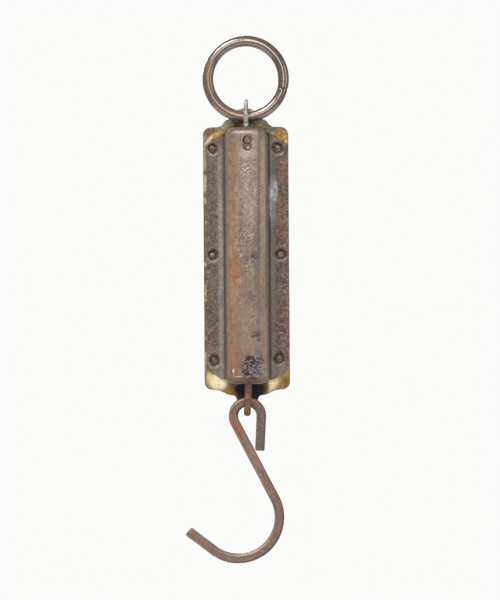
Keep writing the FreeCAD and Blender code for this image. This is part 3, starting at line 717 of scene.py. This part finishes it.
    # red lead colour above the middle of the right flange, grime below
    fa = mix(fa, C(118, 78, 76), np.clip(blob(u, v, 284, 168, 5, 12, 0.5) + blob(u, v, 284, 320, 4, 30, 0.5), 0, 1) * 0.6)
    fa = mix(fa, C(90, 92, 66), np.clip(blob(u, v, 275, 162, 3.5, 9, 0.6), 0, 1) * 0.35)
    fa = mix(fa, C(132, 128, 118), np.clip(blob(u, v, 271, 148, 1.6, 12, 0.5), 0, 1) * 0.4)
    fa = fa * (1.10 + 0.16 * fine2)[:, None] * np.where(left[:, None], np.array([[0.98, 0.91, 0.83]]), np.array([[1.12, 1.05, 0.94]]))
    fa = mix(fa, C(226, 229, 225), np.clip(blob(u, v, 273.0, 190.5, 4.6, 12.5, 0.35) * (0.9 + 0.3 * med) + 0.8 * blob(u, v, 270.0, 207, 2.0, 10, 0.5), 0, 1) * 0.92)
    fa = mix(fa, C(68, 58, 72), blob(u, v, 285.5, 146, 6, 9, 0.5) * 0.75)
    fa = mix(fa, C(150, 96, 64), np.clip(blob(u, v, 280, 218, 5, 20, 0.6) * (0.4 + 0.9 * fine), 0, 1) * 0.8)
    fa = mix(fa, C(92, 50, 44), np.clip(blob(u, v, 283, 205, 3, 12, 0.6) * (0.3 + 0.9 * fine2), 0, 1) * 0.8)
    fa = mix(fa, C(40, 30, 29), np.clip(pf * pit * 0.85 + (0.3 + pf) * pit2 * 0.5, 0, 1))
    fa = mix(fa, C(52, 40, 38), np.clip((0.4 + pf) * sst(0.25, 0.7, -fine), 0, 1) * 0.6)
    fa = mix(fa, C(112, 98, 72), np.clip(0.6 * sst(0.1, 0.7, fbm(co, (3, 3, 6), 709, 3)), 0, 1))
    fa = mix(fa, C(206, 192, 182), np.clip((0.2 + 0.9 * pf) * sst(0.42, 0.8, fine2), 0, 1) * 0.6)
    fa = mix(fa, C(148, 130, 118), np.clip((0.4 + pf) * sst(0.2, 0.7, fine), 0, 1) * 0.4)
    # the lower rims of the rivet dimples get a painted highlight
    fa = mix(fa, C(146, 132, 128), low_rim * 0.8)
    fa = mix(fa, C(140, 123, 113), np.clip(blob(u, v, 214, 378, 10, 7.5, 0.5) + 0.9 * blob(u, v, 279, 371, 9, 6.5, 0.5) + 0.5 * blob(u, v, 212, 353, 7, 8, 0.6), 0, 1) * (0.62 + 0.2 * med))
    fa = mix(fa, C(74, 64, 78), np.clip(blob(u, v, 273, 172, 3.5, 5, 0.6), 0, 1) * 0.6)
    # the rivet dimples are darker inside, and their upper rims are painted dark as shade; the lower rims get more
    # painted highlight
    fa = mix(fa, C(54, 40, 40), np.clip(dim * (0.46 + 0.40 * fine) + 0.70 * top_rim * (1 - low_rim) * (0.6 + 0.6 * fine), 0, 1))
    fa = mix(fa, C(184, 166, 158), np.clip(low_rim * sst(0.0, 0.5, fine2), 0, 1) * 0.55)
    # steep walls darker than the crown, then a painted highlight on the hollow where they turn out into the flange,
    # brighter on the left than on the right
    wa = np.broadcast_to(C(120, 105, 92), (n_, 3)).copy()
    wa = mix(wa, C(90, 78, 68), sst(-0.3, 0.6, strk) * 0.6)
    wa = mix(wa, C(140, 104, 80), sst(0.0, 0.8, cloud + 0.4 * strk2) * 0.45)
    wa = mix(wa, C(62, 52, 47), np.clip(pit2 * 0.35 + sst(0.3, 0.9, -fine) * 0.4, 0, 1))
    wa = mix(wa, C(164, 148, 134), sst(0.45, 0.9, fine) * 0.35)
    wa = wa * (1 + 0.14 * fine2)[:, None]
    ax = np.abs(x - 0.15)
    flare = sst(10.1, 10.9, ax) * sst(13.6, 12.2, ax) * sst(-152, -141, z) * sst(-41, -47, z)
    pale = np.where(left, 0.75 + 0.3 * strk, 0.22 + 0.25 * strk + 0.6 * blob(u, v, 270, 200, 9, 26, 0.4)) * np.clip(1.0 - 0.3 * sst(280, 330, v), 0, 1)
    wa = mix(wa, C(104, 88, 74), sst(0.1, 0.8, cloud) * 0.4)
    rgb = wa * wall[:, None] + cr * crown[:, None] + fa * outer_flange[:, None]
    rgb /= np.maximum(wall + crown + outer_flange, 1e-6)[:, None]
    # the hollow at the foot of the walls gets painted light, pale on the left, duller on the right
    rgb = mix(rgb, C(108, 99, 88), flare * (1 - crown) * np.where(left, 0, 0.6) * (1 - dim))
    rgb = mix(rgb, C(152, 141, 135) * (1 + 0.12 * fine2)[:, None], flare * (1 - crown) * np.clip(pale, 0, 1) * (1 - dim))
    lead = np.clip(blob(u + 0.5 * med, v, 273.2, 190.5, 5.0, 12.0, 0.3) * (0.75 + 0.35 * med + 0.3 * fine) + 0.75 * blob(u, v, 270.0, 207, 2.2, 11, 0.5), 0, 1) * (1 - crown) * (x > 9)
    lead = lead * (0.15 + 0.85 * sst(-6.5, -3.2, co[:, 1])) * sst(0.16, 0.46, lead * (0.55 + 0.9 * fine0 * 0.5 + 0.45 * med))
    rgb = mix(rgb, C(206, 208, 204), np.clip(lead, 0, 1) * 0.88)
    # a painted dark band of shade along the lower walls
    wall_foot_shade = sst(9.2, 9.7, ax) * sst(10.6, 10.1, ax) * (1 - 0 * crown)
    rgb = mix(rgb, C(66, 57, 48), wall_foot_shade * sst(-34, -40, z) * sst(-150, -146, z) * 0.55)
    # dark line round the tenon lobes, light bruise below them
    ln = sst(-0.10, 0.10, lobes) * sst(0.55, 0.28, lobes) * crown
    rgb = mix(rgb, C(56, 42, 38), ln * (0.46 + 0.35 * fine))
    rgb = mix(rgb, C(176, 158, 144), blob(x, z, 0.8, hz - 4.6, 3.6, 2.6, 0.6) * crown * 0.45)
    # inside and the side against the plate: dull dark scale
    inner = sst(0.1, 0.5, no[:, 1]) * (1 - crown)
    rgb = mix(rgb, C(70, 60, 54), inner * 0.8)
    endz = np.clip(sst(0.25, 0.6, np.abs(no[:, 2])) * sst(-44, -41, z) + sst(0.2, 0.5, np.abs(no[:, 0])) * sst(-44, -40, z), 0, 1)
    rough = 0.50 + 0.12 * pit * pf + 0.08 * cloud - 0.14 * flake - 0.05 * crown - 0.1 * nick_and_glint + 0.25 * endz
    metal = np.clip(0.42 + 0.3 * flake - 0.25 * orange * crown - 0.2 * pf - 0.35 * endz, 0, 1)
    rgb = mix(rgb, rgb * 0.62, endz * 0.7)
    paint(ob, rgb, np.clip(rough, 0.2, 0.9), metal, np.clip(0.35 + 0.8 * pf + 0.6 * mid + 0.7 * flake, 0, 1.4))
    add_mat(ob, M_COVER)
    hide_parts("back_cover")
    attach(ob, "casing")


# ------------------------------------------------------------------ face plate
def build_plate():
    ob = remesh_node("face_plate", 0.26, "plate_sheet", 2)
    co, no = get_co(ob), get_no(ob)
    x, y, z = co.T
    lo, hi = nb("face_plate")
    front = sst(0.2, 0.7, no[:, 1])
    back = sst(-0.2, -0.7, no[:, 1])
    d = 0.02 * fbm(co, 4, 801, 3) + 0.01 * fbm(co, 1.2, 803, 3)
    co2 = co + no * np.clip(d, -0.05, 0.02)[:, None]
    set_co(ob, co2)
    v = 116.5 + (-30.86 - z) / 0.443
    u = 247 + x / 0.443 + (v - 256) * 0.00698
    n_ = len(co)
    C = lambda *c: lin(c)
    cloud, fine, streak = fbm(co, 5, 811, 4), fbm(co, 1.2, 813, 4), fbm(co, (5, 5, 1.4), 815, 3)
    rgb = np.broadcast_to(C(205, 182, 128), (n_, 3)).copy()
    rgb = mix(rgb, C(150, 124, 78), sst(-0.1, 0.8, cloud) * 0.6)
    # back, top end: grey-green tarnish, golden brown towards the corners, dark by the hanger
    topz = sst(-60, -44, z) * back
    tk = np.broadcast_to(C(138, 128, 102), (n_, 3)).copy()
    tk = mix(tk, C(108, 104, 86), sst(-0.2, 0.5, cloud + 0.5 * fine) * 0.6)
    tk = mix(tk, C(176, 166, 146), blob(u, v, 226, 123.5, 5.5, 4.5, 0.5) * 0.75)
    tk = mix(tk, C(196, 140, 48), np.clip(blob(u, v, 218, 133, 7, 3.6, 0.45) + blob(u, v, 281, 133.5, 6.5, 6.5, 0.4) + 0.8 * blob(u, v, 235, 127.5, 5.5, 1.6, 0.5), 0, 1) * (0.72 + 0.4 * fine))
    tk = mix(tk, C(122, 82, 56), blob(u, v, 208.0, 130.5, 5.2, 5.5, 0.45) * 0.85)
    tk = mix(tk, C(222, 206, 168), np.clip(blob(u + 0.75 * (v - 138.5), v, 209.0, 138.5, 2.0, 5.0, 0.5) + 0.5 * blob(u, v, 272.5, 133.5, 1.6, 3.5, 0.5), 0, 1) * 0.7)
    tk = mix(tk, C(150, 96, 34), np.clip(blob(u, v, 283, 136, 3.6, 4, 0.5) * (0.5 + 0.8 * fine), 0, 1) * 0.7)
    tk = mix(tk, C(168, 122, 50), blob(u, v, 234.5, 127.0, 9.5, 3.0, 0.5) * (0.75 + 0.4 * fine))
    tk = mix(tk, C(190, 186, 166), blob(u, v, 226.5, 121.5, 5.0, 3.0, 0.6) * (0.6 + 0.5 * fine))
    tk = mix(tk, C(64, 42, 18), np.clip(blob(u, v, 238.8, 122.5, 6.2, 4.6, 0.45) + 0.7 * blob(u, v, 252, 124, 4.5, 3.6, 0.5) + 0.5 * blob(u, v, 229, 130, 4, 1.6, 0.5), 0, 1) * 0.93)
    tk = mix(tk, C(232, 206, 150), np.clip(blob(u, v, 233, 130.2, 5.5, 0.8, 0.5) * (0.5 + fine), 0, 1) * 0.6)
    tk = mix(tk, C(60, 42, 26), sst(0.3, 0.8, fine) * 0.6)
    tk = tk * (1 + 0.22 * fbm(co, 0.6, 820, 3))[:, None]
    tk = mix(tk, C(214, 200, 166), sst(0.35, 0.8, fbm(co, 0.9, 818, 3)) * 0.45)
    tk = mix(tk, C(214, 196, 150), np.clip(blob(u, v, 270, 134, 3.5, 1.8, 0.5) + blob(u, v, 286, 140.5, 1.6, 1.6, 0.5), 0, 1) * 0.7)
    rgb = mix(rgb, tk, topz)
    # back, bottom end: a painted bright reflection at the left, dull gold at the right with a painted bright streak,
    # nearly black round the draw bar where painted shadow lies over dark tarnish
    botz = sst(-138, -145, z) * back
    bk = np.broadcast_to(C(150, 124, 80), (n_, 3)).copy()
    # painted reflection, bright cream at the left
    bk = mix(bk, C(238, 226, 186), blob(u, v, 218.5, 382, 9.5, 8.5, 0.35) * 0.95)
    bk = mix(bk, C(232, 196, 150), blob(u, v, 209.5, 379, 3.0, 6, 0.5) * 0.7)
    bk = mix(bk, C(150, 122, 52), blob(u, v, 229.5, 391, 3.6, 4.5, 0.5) * 0.85)
    bk = mix(bk, C(142, 116, 66), blob(u, v, 283, 380, 7.5, 8, 0.4) * 0.8)
    bk = mix(bk, C(112, 88, 58), blob(u, v, 287, 384, 3, 6, 0.5) * 0.7)
    # a painted bright streak of reflection at the right
    bk = mix(bk, C(240, 216, 176), np.clip(blob(u + 0.5 * (v - 387), v, 272.5, 386.5, 4.6, 6.5, 0.8), 0, 1) * 0.95)
    bk = mix(bk, C(112, 76, 40), blob(u, v, 265.5, 389, 3.4, 5, 0.5) * 0.8)
    # painted shadow over dark tarnish round the draw bar
    darkb = np.clip(blob(u, v, 250, 391, 14.8, 11.5, 0.2) + blob(u, v, 250, 402, 12, 8, 0.35), 0, 1)
    bk = mix(bk, C(92, 64, 30), np.clip(blob(u, v, 250, 391, 18.5, 14, 0.2), 0, 1) * 0.6)
    bk = mix(bk, C(34, 21, 15), darkb * 0.97)
    bk = mix(bk, C(96, 60, 42), blob(u, v, 241, 401, 5, 3, 0.6) * 0.5)
    rgb = mix(rgb, bk, botz)
    # the long edge left showing beside the cover: green-brown with a few cream glints
    strip = sst(-50, -56, z) * sst(-142, -136, z) * back
    sk = np.broadcast_to(C(126, 106, 84), (n_, 3)).copy()
    sk = mix(sk, C(118, 108, 72), sst(0, 0.6, cloud) * 0.5)
    sk = mix(sk, C(206, 190, 164), sst(0.05, 0.6, fbm(co, (3, 3, 2.6), 817, 3)) * 0.6)
    sk = mix(sk, C(98, 70, 50), sst(0.2, 0.7, fbm(co, (2, 2, 5), 816, 3)) * 0.5)
    sk = mix(sk, C(84, 62, 48), sst(0.3, 0.7, -fine) * 0.6)
    rgb = mix(rgb, sk, strip)
    # front: brown lacquer-like tarnish, brighter where it was rubbed
    wipe = fbm(co, (14, 14, 5), 819, 5, 0.6)
    fr = mix(np.broadcast_to(C(176, 146, 92), (n_, 3)), C(136, 108, 70), sst(-0.8, 0.9, wipe + 0.35 * fine) * 0.8)
    fr = mix(fr, C(116, 92, 62), sst(0.2, 0.8, cloud + 0.3 * fine) * 0.30)
    fr = mix(fr, C(206, 180, 124), sst(0.1, 1.1, fbm(co, 20, 821, 4)) * 0.5)
    edge_d = np.minimum(np.minimum(x - lo[0], hi[0] - x), 99)
    fr = mix(fr, C(100, 78, 52), sst(3.0, 0.6, edge_d) * 0.55)
    fr = mix(fr, C(74, 84, 66), sst(0.55, 0.95, fbm(co, 3.0, 823, 4)) * 0.5)
    slotm = blob(x, z, 0, -121.7, 3.6, 27, 0.25)
    fr = mix(fr, C(84, 66, 46), slotm * 0.5)
    rgb = rgb * (1 - front[:, None]) + fr * front[:, None]
    side = np.clip(1 - front - back, 0, 1)
    rgb = mix(rgb, C(96, 76, 52), side * 0.8)
    # the rounded rims, where the sheet turns away from the view, are painted dark as shade
    rimn = sst(0.985, 0.80, np.abs(no[:, 1])) * (1 - 0.4 * front)
    rgb = mix(rgb, C(70, 53, 38), rimn * 0.8)
    rgb = mix(rgb, rgb * 0.55, sst(0.45, 0.95, fbm(co, 0.8, 825, 3)) * 0.35 * (1 - botz))
    rough = 0.36 + 0.10 * cloud + 0.16 * front + 0.25 * topz + 0.2 * strip
    rough = rough + 0.35 * botz * darkb
    paint(ob, rgb, np.clip(rough, 0.15, 0.85), np.clip(0.80 - 0.25 * sst(0, 0.8, cloud) - 0.35 * topz - 0.5 * botz * darkb, 0, 1), 0.6)
    add_mat(ob, M_BRASS)
    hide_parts("face_plate")
    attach(ob, "casing")


# ------------------------------------------------------------------ small steel parts
def patina_simple(ob, base, dark, light, seed, rough=0.45, metal=0.7, grain=0.7, amp=0.02, f=1.5):
    co, no = get_co(ob), get_no(ob)
    d = amp * fbm(co, f, seed, 3) + amp * 0.5 * fbm(co, f * 3, seed + 1, 2)
    set_co(ob, co + no * np.clip(d, -2 * amp, amp * 0.8)[:, None])
    g, g2 = fbm(co, 3, seed + 2, 4), fbm(co, 0.8, seed + 3, 4)
    rgb = mix(np.broadcast_to(lin(base), co.shape), lin(dark), sst(0, 0.8, g) * 0.7)
    rgb = mix(rgb, lin(light), sst(0.2, 0.9, g2) * 0.5)
    paint(ob, rgb, np.clip(rough + 0.12 * g, 0.15, 0.9), metal, grain)


def build_hanger():
    ob = remesh_node("hanger_strap", 0.13, "hanger_plate", 3)
    patina_simple(ob, (190, 182, 176), (140, 130, 122), (224, 218, 212), 1001, 0.46, 0.5, 0.6, 0.012)
    co = get_co(ob)
    x, y, z = co.T
    hz = (-45.6 - 41.2) / 2
    y0 = nb("hanger_strap")[0][1]
    head = sst(y0 + 1.1, y0 + 0.7, y) * (z > hz - 5) * (z < hz + 5)
    r1, r2 = np.hypot(x - 0.6, z - hz - 1.4) / 1.6, np.hypot(x - 0.6, z - hz + 1.45) / 1.55
    r = np.minimum(r1, r2)
    # each blow left a raised lip round a hollow
    lip = sst(0.45, 0.75, r) * sst(1.02, 0.85, r)
    co[:, 1] += head * (0.16 * sst(0.7, 0.35, r) - 0.05 * lip)
    set_co(ob, co)
    n_ = len(co)
    col = np.empty(n_ * 4, np.float32)
    at = ob.data.attributes["patina"]
    at.data.foreach_get("color", col)
    col = col.reshape(-1, 4)
    fine = fbm(co, 0.7, 1011, 3)
    hd = mix(np.broadcast_to(lin((124, 104, 92)), (n_, 3)), lin((92, 72, 64)), sst(0, 0.7, fine) * 0.6)
    hd = mix(hd, lin((48, 35, 31)), np.clip(sst(0.74, 0.94, r), 0, 1) * 0.72)
    hd = mix(hd, lin((34, 26, 26)), blob(x, z, 0.75, hz - 0.1, 1.0, 0.42, 0.5) * 0.8)
    # a painted highlight on the lower lobe
    hd = mix(hd, lin((214, 196, 186)), blob(x, z, 0.75, hz - 1.8, 0.36, 0.5, 0.5) * 0.7)
    hd = mix(hd, lin((70, 52, 46)), blob(x, z, 0.2, hz - 1.3, 0.6, 0.6, 0.6) * 0.6)
    col[:, :3] = mix(col[:, :3], hd, head)
    # darker in the shade beside the ring and down to the trough
    col[:, :3] = mix(col[:, :3], lin((96, 84, 76)), sst(-26.5, -28.5, z) * sst(-32.5, -30.5, z) * 0.35)
    col[:, :3] = mix(col[:, :3], lin((70, 52, 44)), sst(-34.6, -35.9, z) * (1 - head) * 0.8)
    at.data.foreach_set("color", col.ravel())
    add_mat(ob, M_STEEL)
    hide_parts("hanger_strap")
    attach(ob, "casing")


def build_bar():
    ob = remesh_node("draw_bar", 0.16, "draw_bar_flat", 4)
    co = get_co(ob)
    # the tongue was never quite straight
    z = co[:, 2]
    co[:, 0] += (0.26 - 0.51 * sst(-150, -163, z)) * sst(-108, -149, z)
    set_co(ob, co)
    patina_simple(ob, (118, 86, 68), (74, 52, 42), (146, 112, 90), 1101, 0.6, 0.3, 1.0, 0.035)
    add_mat(ob, M_BAR)
    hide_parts("draw_bar")
    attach(ob, "draw")


def revolve(name, prof, c, n=40, wob=0.0, seed=0):
    """Solid of revolution about an axis along Y through c; prof is a list of (radius, y) from one pole to the other."""
    V, F = [], []
    prof = list(prof)
    for r, yy in prof:
        for j in range(n):
            t = 2 * math.pi * j / n
            V.append((c[0] + r * math.cos(t), yy, c[2] + r * math.sin(t)))
    m = len(prof)
    for i in range(m - 1):
        for j in range(n):
            p, q = i * n + j, i * n + (j + 1) % n
            F.append((p, p + n, q + n, q))
    V += [(c[0], prof[0][1], c[2]), (c[0], prof[-1][1], c[2])]
    for j in range(n):
        F.append((m * n, (j + 1) % n, j))
        F.append((m * n + 1, (m - 1) * n + j, (m - 1) * n + (j + 1) % n))
    ob = make(name, V, F)
    fix_normals(ob)
    return ob


def build_rivets():
    for k, (name, c) in enumerate(sorted(RIV.items())):
        lo, hi = nb(name)
        R = (hi[0] - lo[0]) / 2
        y0, y1 = lo[1], hi[1]
        base = 7.85
        prof = []
        for i in range(14):
            t = i / 13 * math.pi / 2
            prof.append((max(R * 0.92 * math.sin(t), 0.02), y0 + 0.18 + (base - y0 - 0.4) * (1 - math.cos(t)) ** 1.15))
        prof += [(R * 0.92, base), (1.18, base + 0.05), (1.18, 9.4), (R * 0.95, 9.52)]
        for i in range(8):
            t = i / 7 * math.pi / 2
            prof.append((max(R * 0.95 * math.cos(t), 0.02), 9.52 + (y1 - 9.54) * math.sin(t)))
        ob = revolve(name + "_head", prof, c, 44)
        co = get_co(ob)
        u = np.hypot(co[:, 0] - c[0], co[:, 2] - c[2])
        a = np.arctan2(co[:, 2] - c[2], co[:, 0] - c[0])
        back = co[:, 1] < 8
        squash = 1 - back * np.clip(0.10 + 0.10 * np.sin(2 * a + 1.7 * k) + 0.07 * np.sin(3 * a + 2.3 * k), 0, 0.3)
        co[:, 0] = c[0] + (co[:, 0] - c[0]) * squash
        co[:, 2] = c[2] + (co[:, 2] - c[2]) * squash
        co[:, 1] += back * (0.16 * (co[:, 0] - c[0]) / R * math.cos(k * 2.1) + 0.14 * (co[:, 2] - c[2]) / R * math.sin(k * 1.3) + 0.09 * vn(co, 0.8, 1200 + k))
        co[:, 1] = np.maximum(co[:, 1], y0 + 0.02)
        set_co(ob, co)
        patina_simple(ob, (132, 106, 96), (82, 62, 56), (196, 176, 168), 1210 + k * 7, 0.50, 0.4, 0.8, 0.03, 0.6)
        n_ = len(co)
        col = np.empty(n_ * 4, np.float32)
        at = ob.data.attributes["patina"]
        at.data.foreach_get("color", col)
        col = col.reshape(-1, 4)
        # the head's rim on its upper side is painted dark as shade
        col[:, :3] = mix(col[:, :3], lin((44, 30, 30)), back * sst(0.62, 0.95, np.hypot(co[:, 0] - c[0], co[:, 2] - c[2]) / R) * sst(-0.9, 0.4, np.sin(a - 0.4)) * 0.85)
        at.data.foreach_set("color", col.ravel())
        add_mat(ob, M_STEEL)
        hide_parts(name)
        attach(ob, "casing")


# ------------------------------------------------------------------ spring
SPR = dict(top=-47.6, pe=2.7, pm=1.88, te=2.5, tm=18.0, R=6.6, w=1.8)


def coil_z(t):
    a, m = SPR["te"], SPR["tm"]
    return SPR["top"] - (SPR["pe"] * np.minimum(t, a) + SPR["pm"] * np.clip(t - a, 0, m) + SPR["pe"] * np.clip(t - a - m, 0, None))


def build_spring():
    turns = 2 * SPR["te"] + SPR["tm"]
    m = int(turns * 48) + 1
    t = np.linspace(0, turns, m)
    a = 2 * math.pi * t
    P = np.stack([SPR["R"] * np.cos(a), SPR["R"] * np.sin(a), coil_z(t)], 1)
    T = np.gradient(P, axis=0)
    T /= np.linalg.norm(T, axis=1)[:, None]
    rad = np.stack([np.cos(a), np.sin(a), 0 * a], 1)
    up = np.cross(T, rad)
    n = 16
    ph = np.linspace(0, 2 * math.pi, n, endpoint=False)
    V = (P[:, None] + SPR["w"] / 2 * (np.cos(ph)[None, :, None] * rad[:, None] + np.sin(ph)[None, :, None] * up[:, None])).reshape(-1, 3)
    F = []
    for i in range(m - 1):
        for j in range(n):
            p, q = i * n + j, i * n + (j + 1) % n
            F.append((p, p + n, q + n, q))
    V = np.vstack([V, P[0], P[-1]])
    for j in range(n):
        F.append((m * n, (j + 1) % n, j))
        F.append((m * n + 1, (m - 1) * n + j, (m - 1) * n + (j + 1) % n))
    ob = make("spring_wire", V, F)
    fix_normals(ob)
    patina_simple(ob, (92, 84, 80), (48, 42, 40), (140, 128, 118), 1301, 0.38, 0.85, 0.4, 0.005)
    add_mat(ob, M_STEEL)
    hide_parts("main_spring")
    z1 = float(coil_z(np.array([SPR["te"]]))[0]) * MM
    z2 = float(coil_z(np.array([SPR["te"] + SPR["tm"]]))[0]) * MM
    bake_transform(ob, "casing", "draw", start=(0, 0, z1), end=(0, 0, z2))


# ------------------------------------------------------------------ index and stop pin
def build_small():
    for node, out, body, slotname, vox in (("index_pointer", "pointer_bar", "draw", "pointer_brass", 0.08), ("index_slider", "slider_pad", "draw", "pointer_brass", 0.1),
                                            ("overload_stop_pin", "stop_pin", "draw", "pin_steel", 0.1)):
        ob = remesh_node(node, vox, out, 2)
        if slotname == "pointer_brass":
            patina_simple(ob, (196, 164, 104), (120, 92, 56), (226, 204, 150), 1400 + len(node), 0.34, 0.95, 0.4, 0.01)
            add_mat(ob, M_BRASS)
        else:
            patina_simple(ob, (120, 112, 108), (70, 62, 58), (160, 150, 142), 1500, 0.4, 0.8, 0.4, 0.01)
            add_mat(ob, M_STEEL)
        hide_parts(node)
        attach(ob, body)


# ------------------------------------------------------------------ dial: filled graduations and numerals
def dial_material():
    m, nt, b = node_mat("dial_filling")
    N, L = nt.nodes.new, nt.links.new
    tc = N("ShaderNodeTexCoord")
    n1 = N("ShaderNodeTexNoise")
    n1.inputs["Scale"].default_value = 2500
    n1.inputs["Detail"].default_value = 4
    L(tc.outputs["Object"], n1.inputs["Vector"])
    cr = N("ShaderNodeValToRGB")
    cr.color_ramp.elements[0].position, cr.color_ramp.elements[1].position = 0.35, 0.75
    cr.color_ramp.elements[0].color = (*lin((22, 18, 16)), 1)
    cr.color_ramp.elements[1].color = (*lin((74, 56, 40)), 1)
    L(n1.outputs["Fac"], cr.inputs[0])
    L(cr.outputs[0], b.inputs["Base Color"])
    b.inputs["Roughness"].default_value = 0.7
    bp = N("ShaderNodeBump")
    bp.inputs["Strength"].default_value = 0.3
    bp.inputs["Distance"].default_value = 0.05 * MM
    L(n1.outputs["Fac"], bp.inputs["Height"])
    L(bp.outputs[0], b.inputs["Normal"])
    return m


def build_dial():
    mat = dial_material()
    lo, hi = nb("face_plate")
    yf = hi[1] + 0.005
    plo, phi = nb("index_pointer")
    z0 = (plo[2] + phi[2]) / 2
    travel = JOINT["draw_slide"]["range_m"][1] * 1000
    V, F = [], []

    def bar(x0, x1, zc, w, t=0.035):
        b = len(V)
        for yy in (yf - 0.25, yf + t):
            for xx, zz in ((x0, zc - w / 2), (x1, zc - w / 2), (x1, zc + w / 2), (x0, zc + w / 2)):
                V.append((xx, yy, zz))
        F.extend([(b, b + 1, b + 2, b + 3), (b + 4, b + 7, b + 6, b + 5), (b, b + 4, b + 5, b + 1), (b + 1, b + 5, b + 6, b + 2), (b + 2, b + 6, b + 7, b + 3), (b + 3, b + 7, b + 4, b)])

    for i in range(0, 51):
        z = z0 - travel * i / 50
        ln = 5.2 if i % 10 == 0 else (3.9 if i % 2 == 0 else 2.4)
        for m in (-1, 1):
            a, c = m * 3.0, m * (3.0 + ln)
            bar(min(a, c), max(a, c), z, 0.26 if i % 10 == 0 else 0.18)
    # two border lines down the slot
    for m in (-1, 1):
        b0 = m * 2.75
        bar(b0 - 0.09, b0 + 0.09, z0 - travel / 2, travel + 0.4)
    ob = make("dial_graduations", V, F, smooth=False)
    fix_normals(ob)
    add_mat(ob, mat)
    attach(ob, "casing")
    for k in range(0, 6):
        val = str(5 * k)
        z = z0 - travel * k / 5
        for m in (-1, 1):
            cu = bpy.data.curves.new("num", "FONT")
            cu.body = val
            cu.size = 4.6 * MM
            cu.extrude = 0.02 * MM
            cu.align_x, cu.align_y = "CENTER", "CENTER"
            to = bpy.data.objects.new("num", cu)
            coll.objects.link(to)
            dg = bpy.context.evaluated_depsgraph_get()
            me = bpy.data.meshes.new_from_object(to.evaluated_get(dg))
            bpy.data.objects.remove(to)
            # text plane faces +Y, reads upright with +Z up
            R = Matrix(((-1, 0, 0), (0, 0, 1), (0, 1, 0))).to_4x4()
            me.transform(Matrix.Translation((m * 12.2 * MM, (yf + 0.015) * MM, z * MM)) @ R)
            nob = bpy.data.objects.new("dial_number_%s_%s" % (val, "right" if m < 0 else "left"), me)
            coll.objects.link(nob)
            fix_normals(nob)
            add_mat(nob, mat)
            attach(nob, "casing")


# ------------------------------------------------------------------ stage, camera, light
def build_stage():
    # a plain pale floor, well below the hanging scale
    s = 0.6
    z = -0.42
    me = bpy.data.meshes.new("floor")
    me.from_pydata([(-s, -s, z), (s, -s, z), (s, s, z), (-s, s, z)], [], [(0, 1, 2, 3)])
    ob = bpy.data.objects.new("floor", me)
    coll.objects.link(ob)
    m, nt, b = node_mat("floor_paper")
    b.inputs["Base Color"].default_value = (0.86, 0.86, 0.85, 1)
    b.inputs["Emission Color"].default_value = (0.97, 0.98, 1.0, 1)
    b.inputs["Emission Strength"].default_value = 0.30
    b.inputs["Roughness"].default_value = 0.9
    b.inputs["Specular IOR Level"].default_value = 0.0
    me.materials.append(m)
    w = bpy.data.worlds.new("studio")
    scene.world = w
    w.use_nodes = True
    nt = w.node_tree
    nt.nodes.clear()
    N, L = nt.nodes.new, nt.links.new
    out = N("ShaderNodeOutputWorld")
    a, c = N("ShaderNodeBackground"), N("ShaderNodeBackground")
    a.inputs[0].default_value, a.inputs[1].default_value = (0.98, 0.99, 1.0, 1), 0.40
    c.inputs[0].default_value, c.inputs[1].default_value = (0.965, 0.965, 0.955, 1), 1.0
    lp, mx = N("ShaderNodeLightPath"), N("ShaderNodeMixShader")
    L(lp.outputs["Is Camera Ray"], mx.inputs[0])
    L(a.outputs[0], mx.inputs[1])
    L(c.outputs[0], mx.inputs[2])
    L(mx.outputs[0], out.inputs[0])

    def area(name, loc, target, size, power, color=(1, 1, 1)):
        l = bpy.data.lights.new(name, "AREA")
        l.shape = "RECTANGLE"
        l.size, l.size_y = size
        l.energy = power
        l.color = color
        o = bpy.data.objects.new(name, l)
        coll.objects.link(o)
        o.location = loc
        o.rotation_euler = (Vector(target) - Vector(loc)).to_track_quat("-Z", "Y").to_euler()

    c0 = (0, 0, -0.11)
    area("key", (-0.35, -0.62, 0.62), c0, (0.42, 0.42), 7.0, (1, 0.99, 0.97))
    area("overhead", (0.05, -1.0, 0.25), c0, (0.16, 0.7), 2.6)
    area("rim_right", (0.85, -0.45, 0.05), c0, (0.3, 0.6), 1.6, (0.97, 0.98, 1))
    area("front_fill", (-0.3, 0.85, 0.35), c0, (0.5, 0.5), 7.0)
    area("below", (-0.1, -0.5, -0.75), c0, (0.5, 0.3), 1.6)


def build_camera():
    cam = bpy.data.cameras.new("cam")
    cam.lens = 135.0
    cam.sensor_width = 36.0
    ob = bpy.data.objects.new("cam", cam)
    coll.objects.link(ob)
    dist = 265.8 * MM / 2 / (18.0 / 135.0)
    tx, tz = 1.25 * MM, -112.3 * MM
    ob.location = (tx, -dist, tz)
    roll = math.radians(0.4)
    ob.rotation_euler = (math.radians(90), roll, 0)
    cam.clip_start, cam.clip_end = 0.01, 50
    scene.camera = ob


build_camera()
build_ring()
build_hook()
build_cover()
build_plate()
build_hanger()
build_bar()
build_rivets()
build_spring()
build_small()
build_dial()
build_stage()
scene.view_settings.view_transform = "Standard"
scene.view_settings.look = "None"
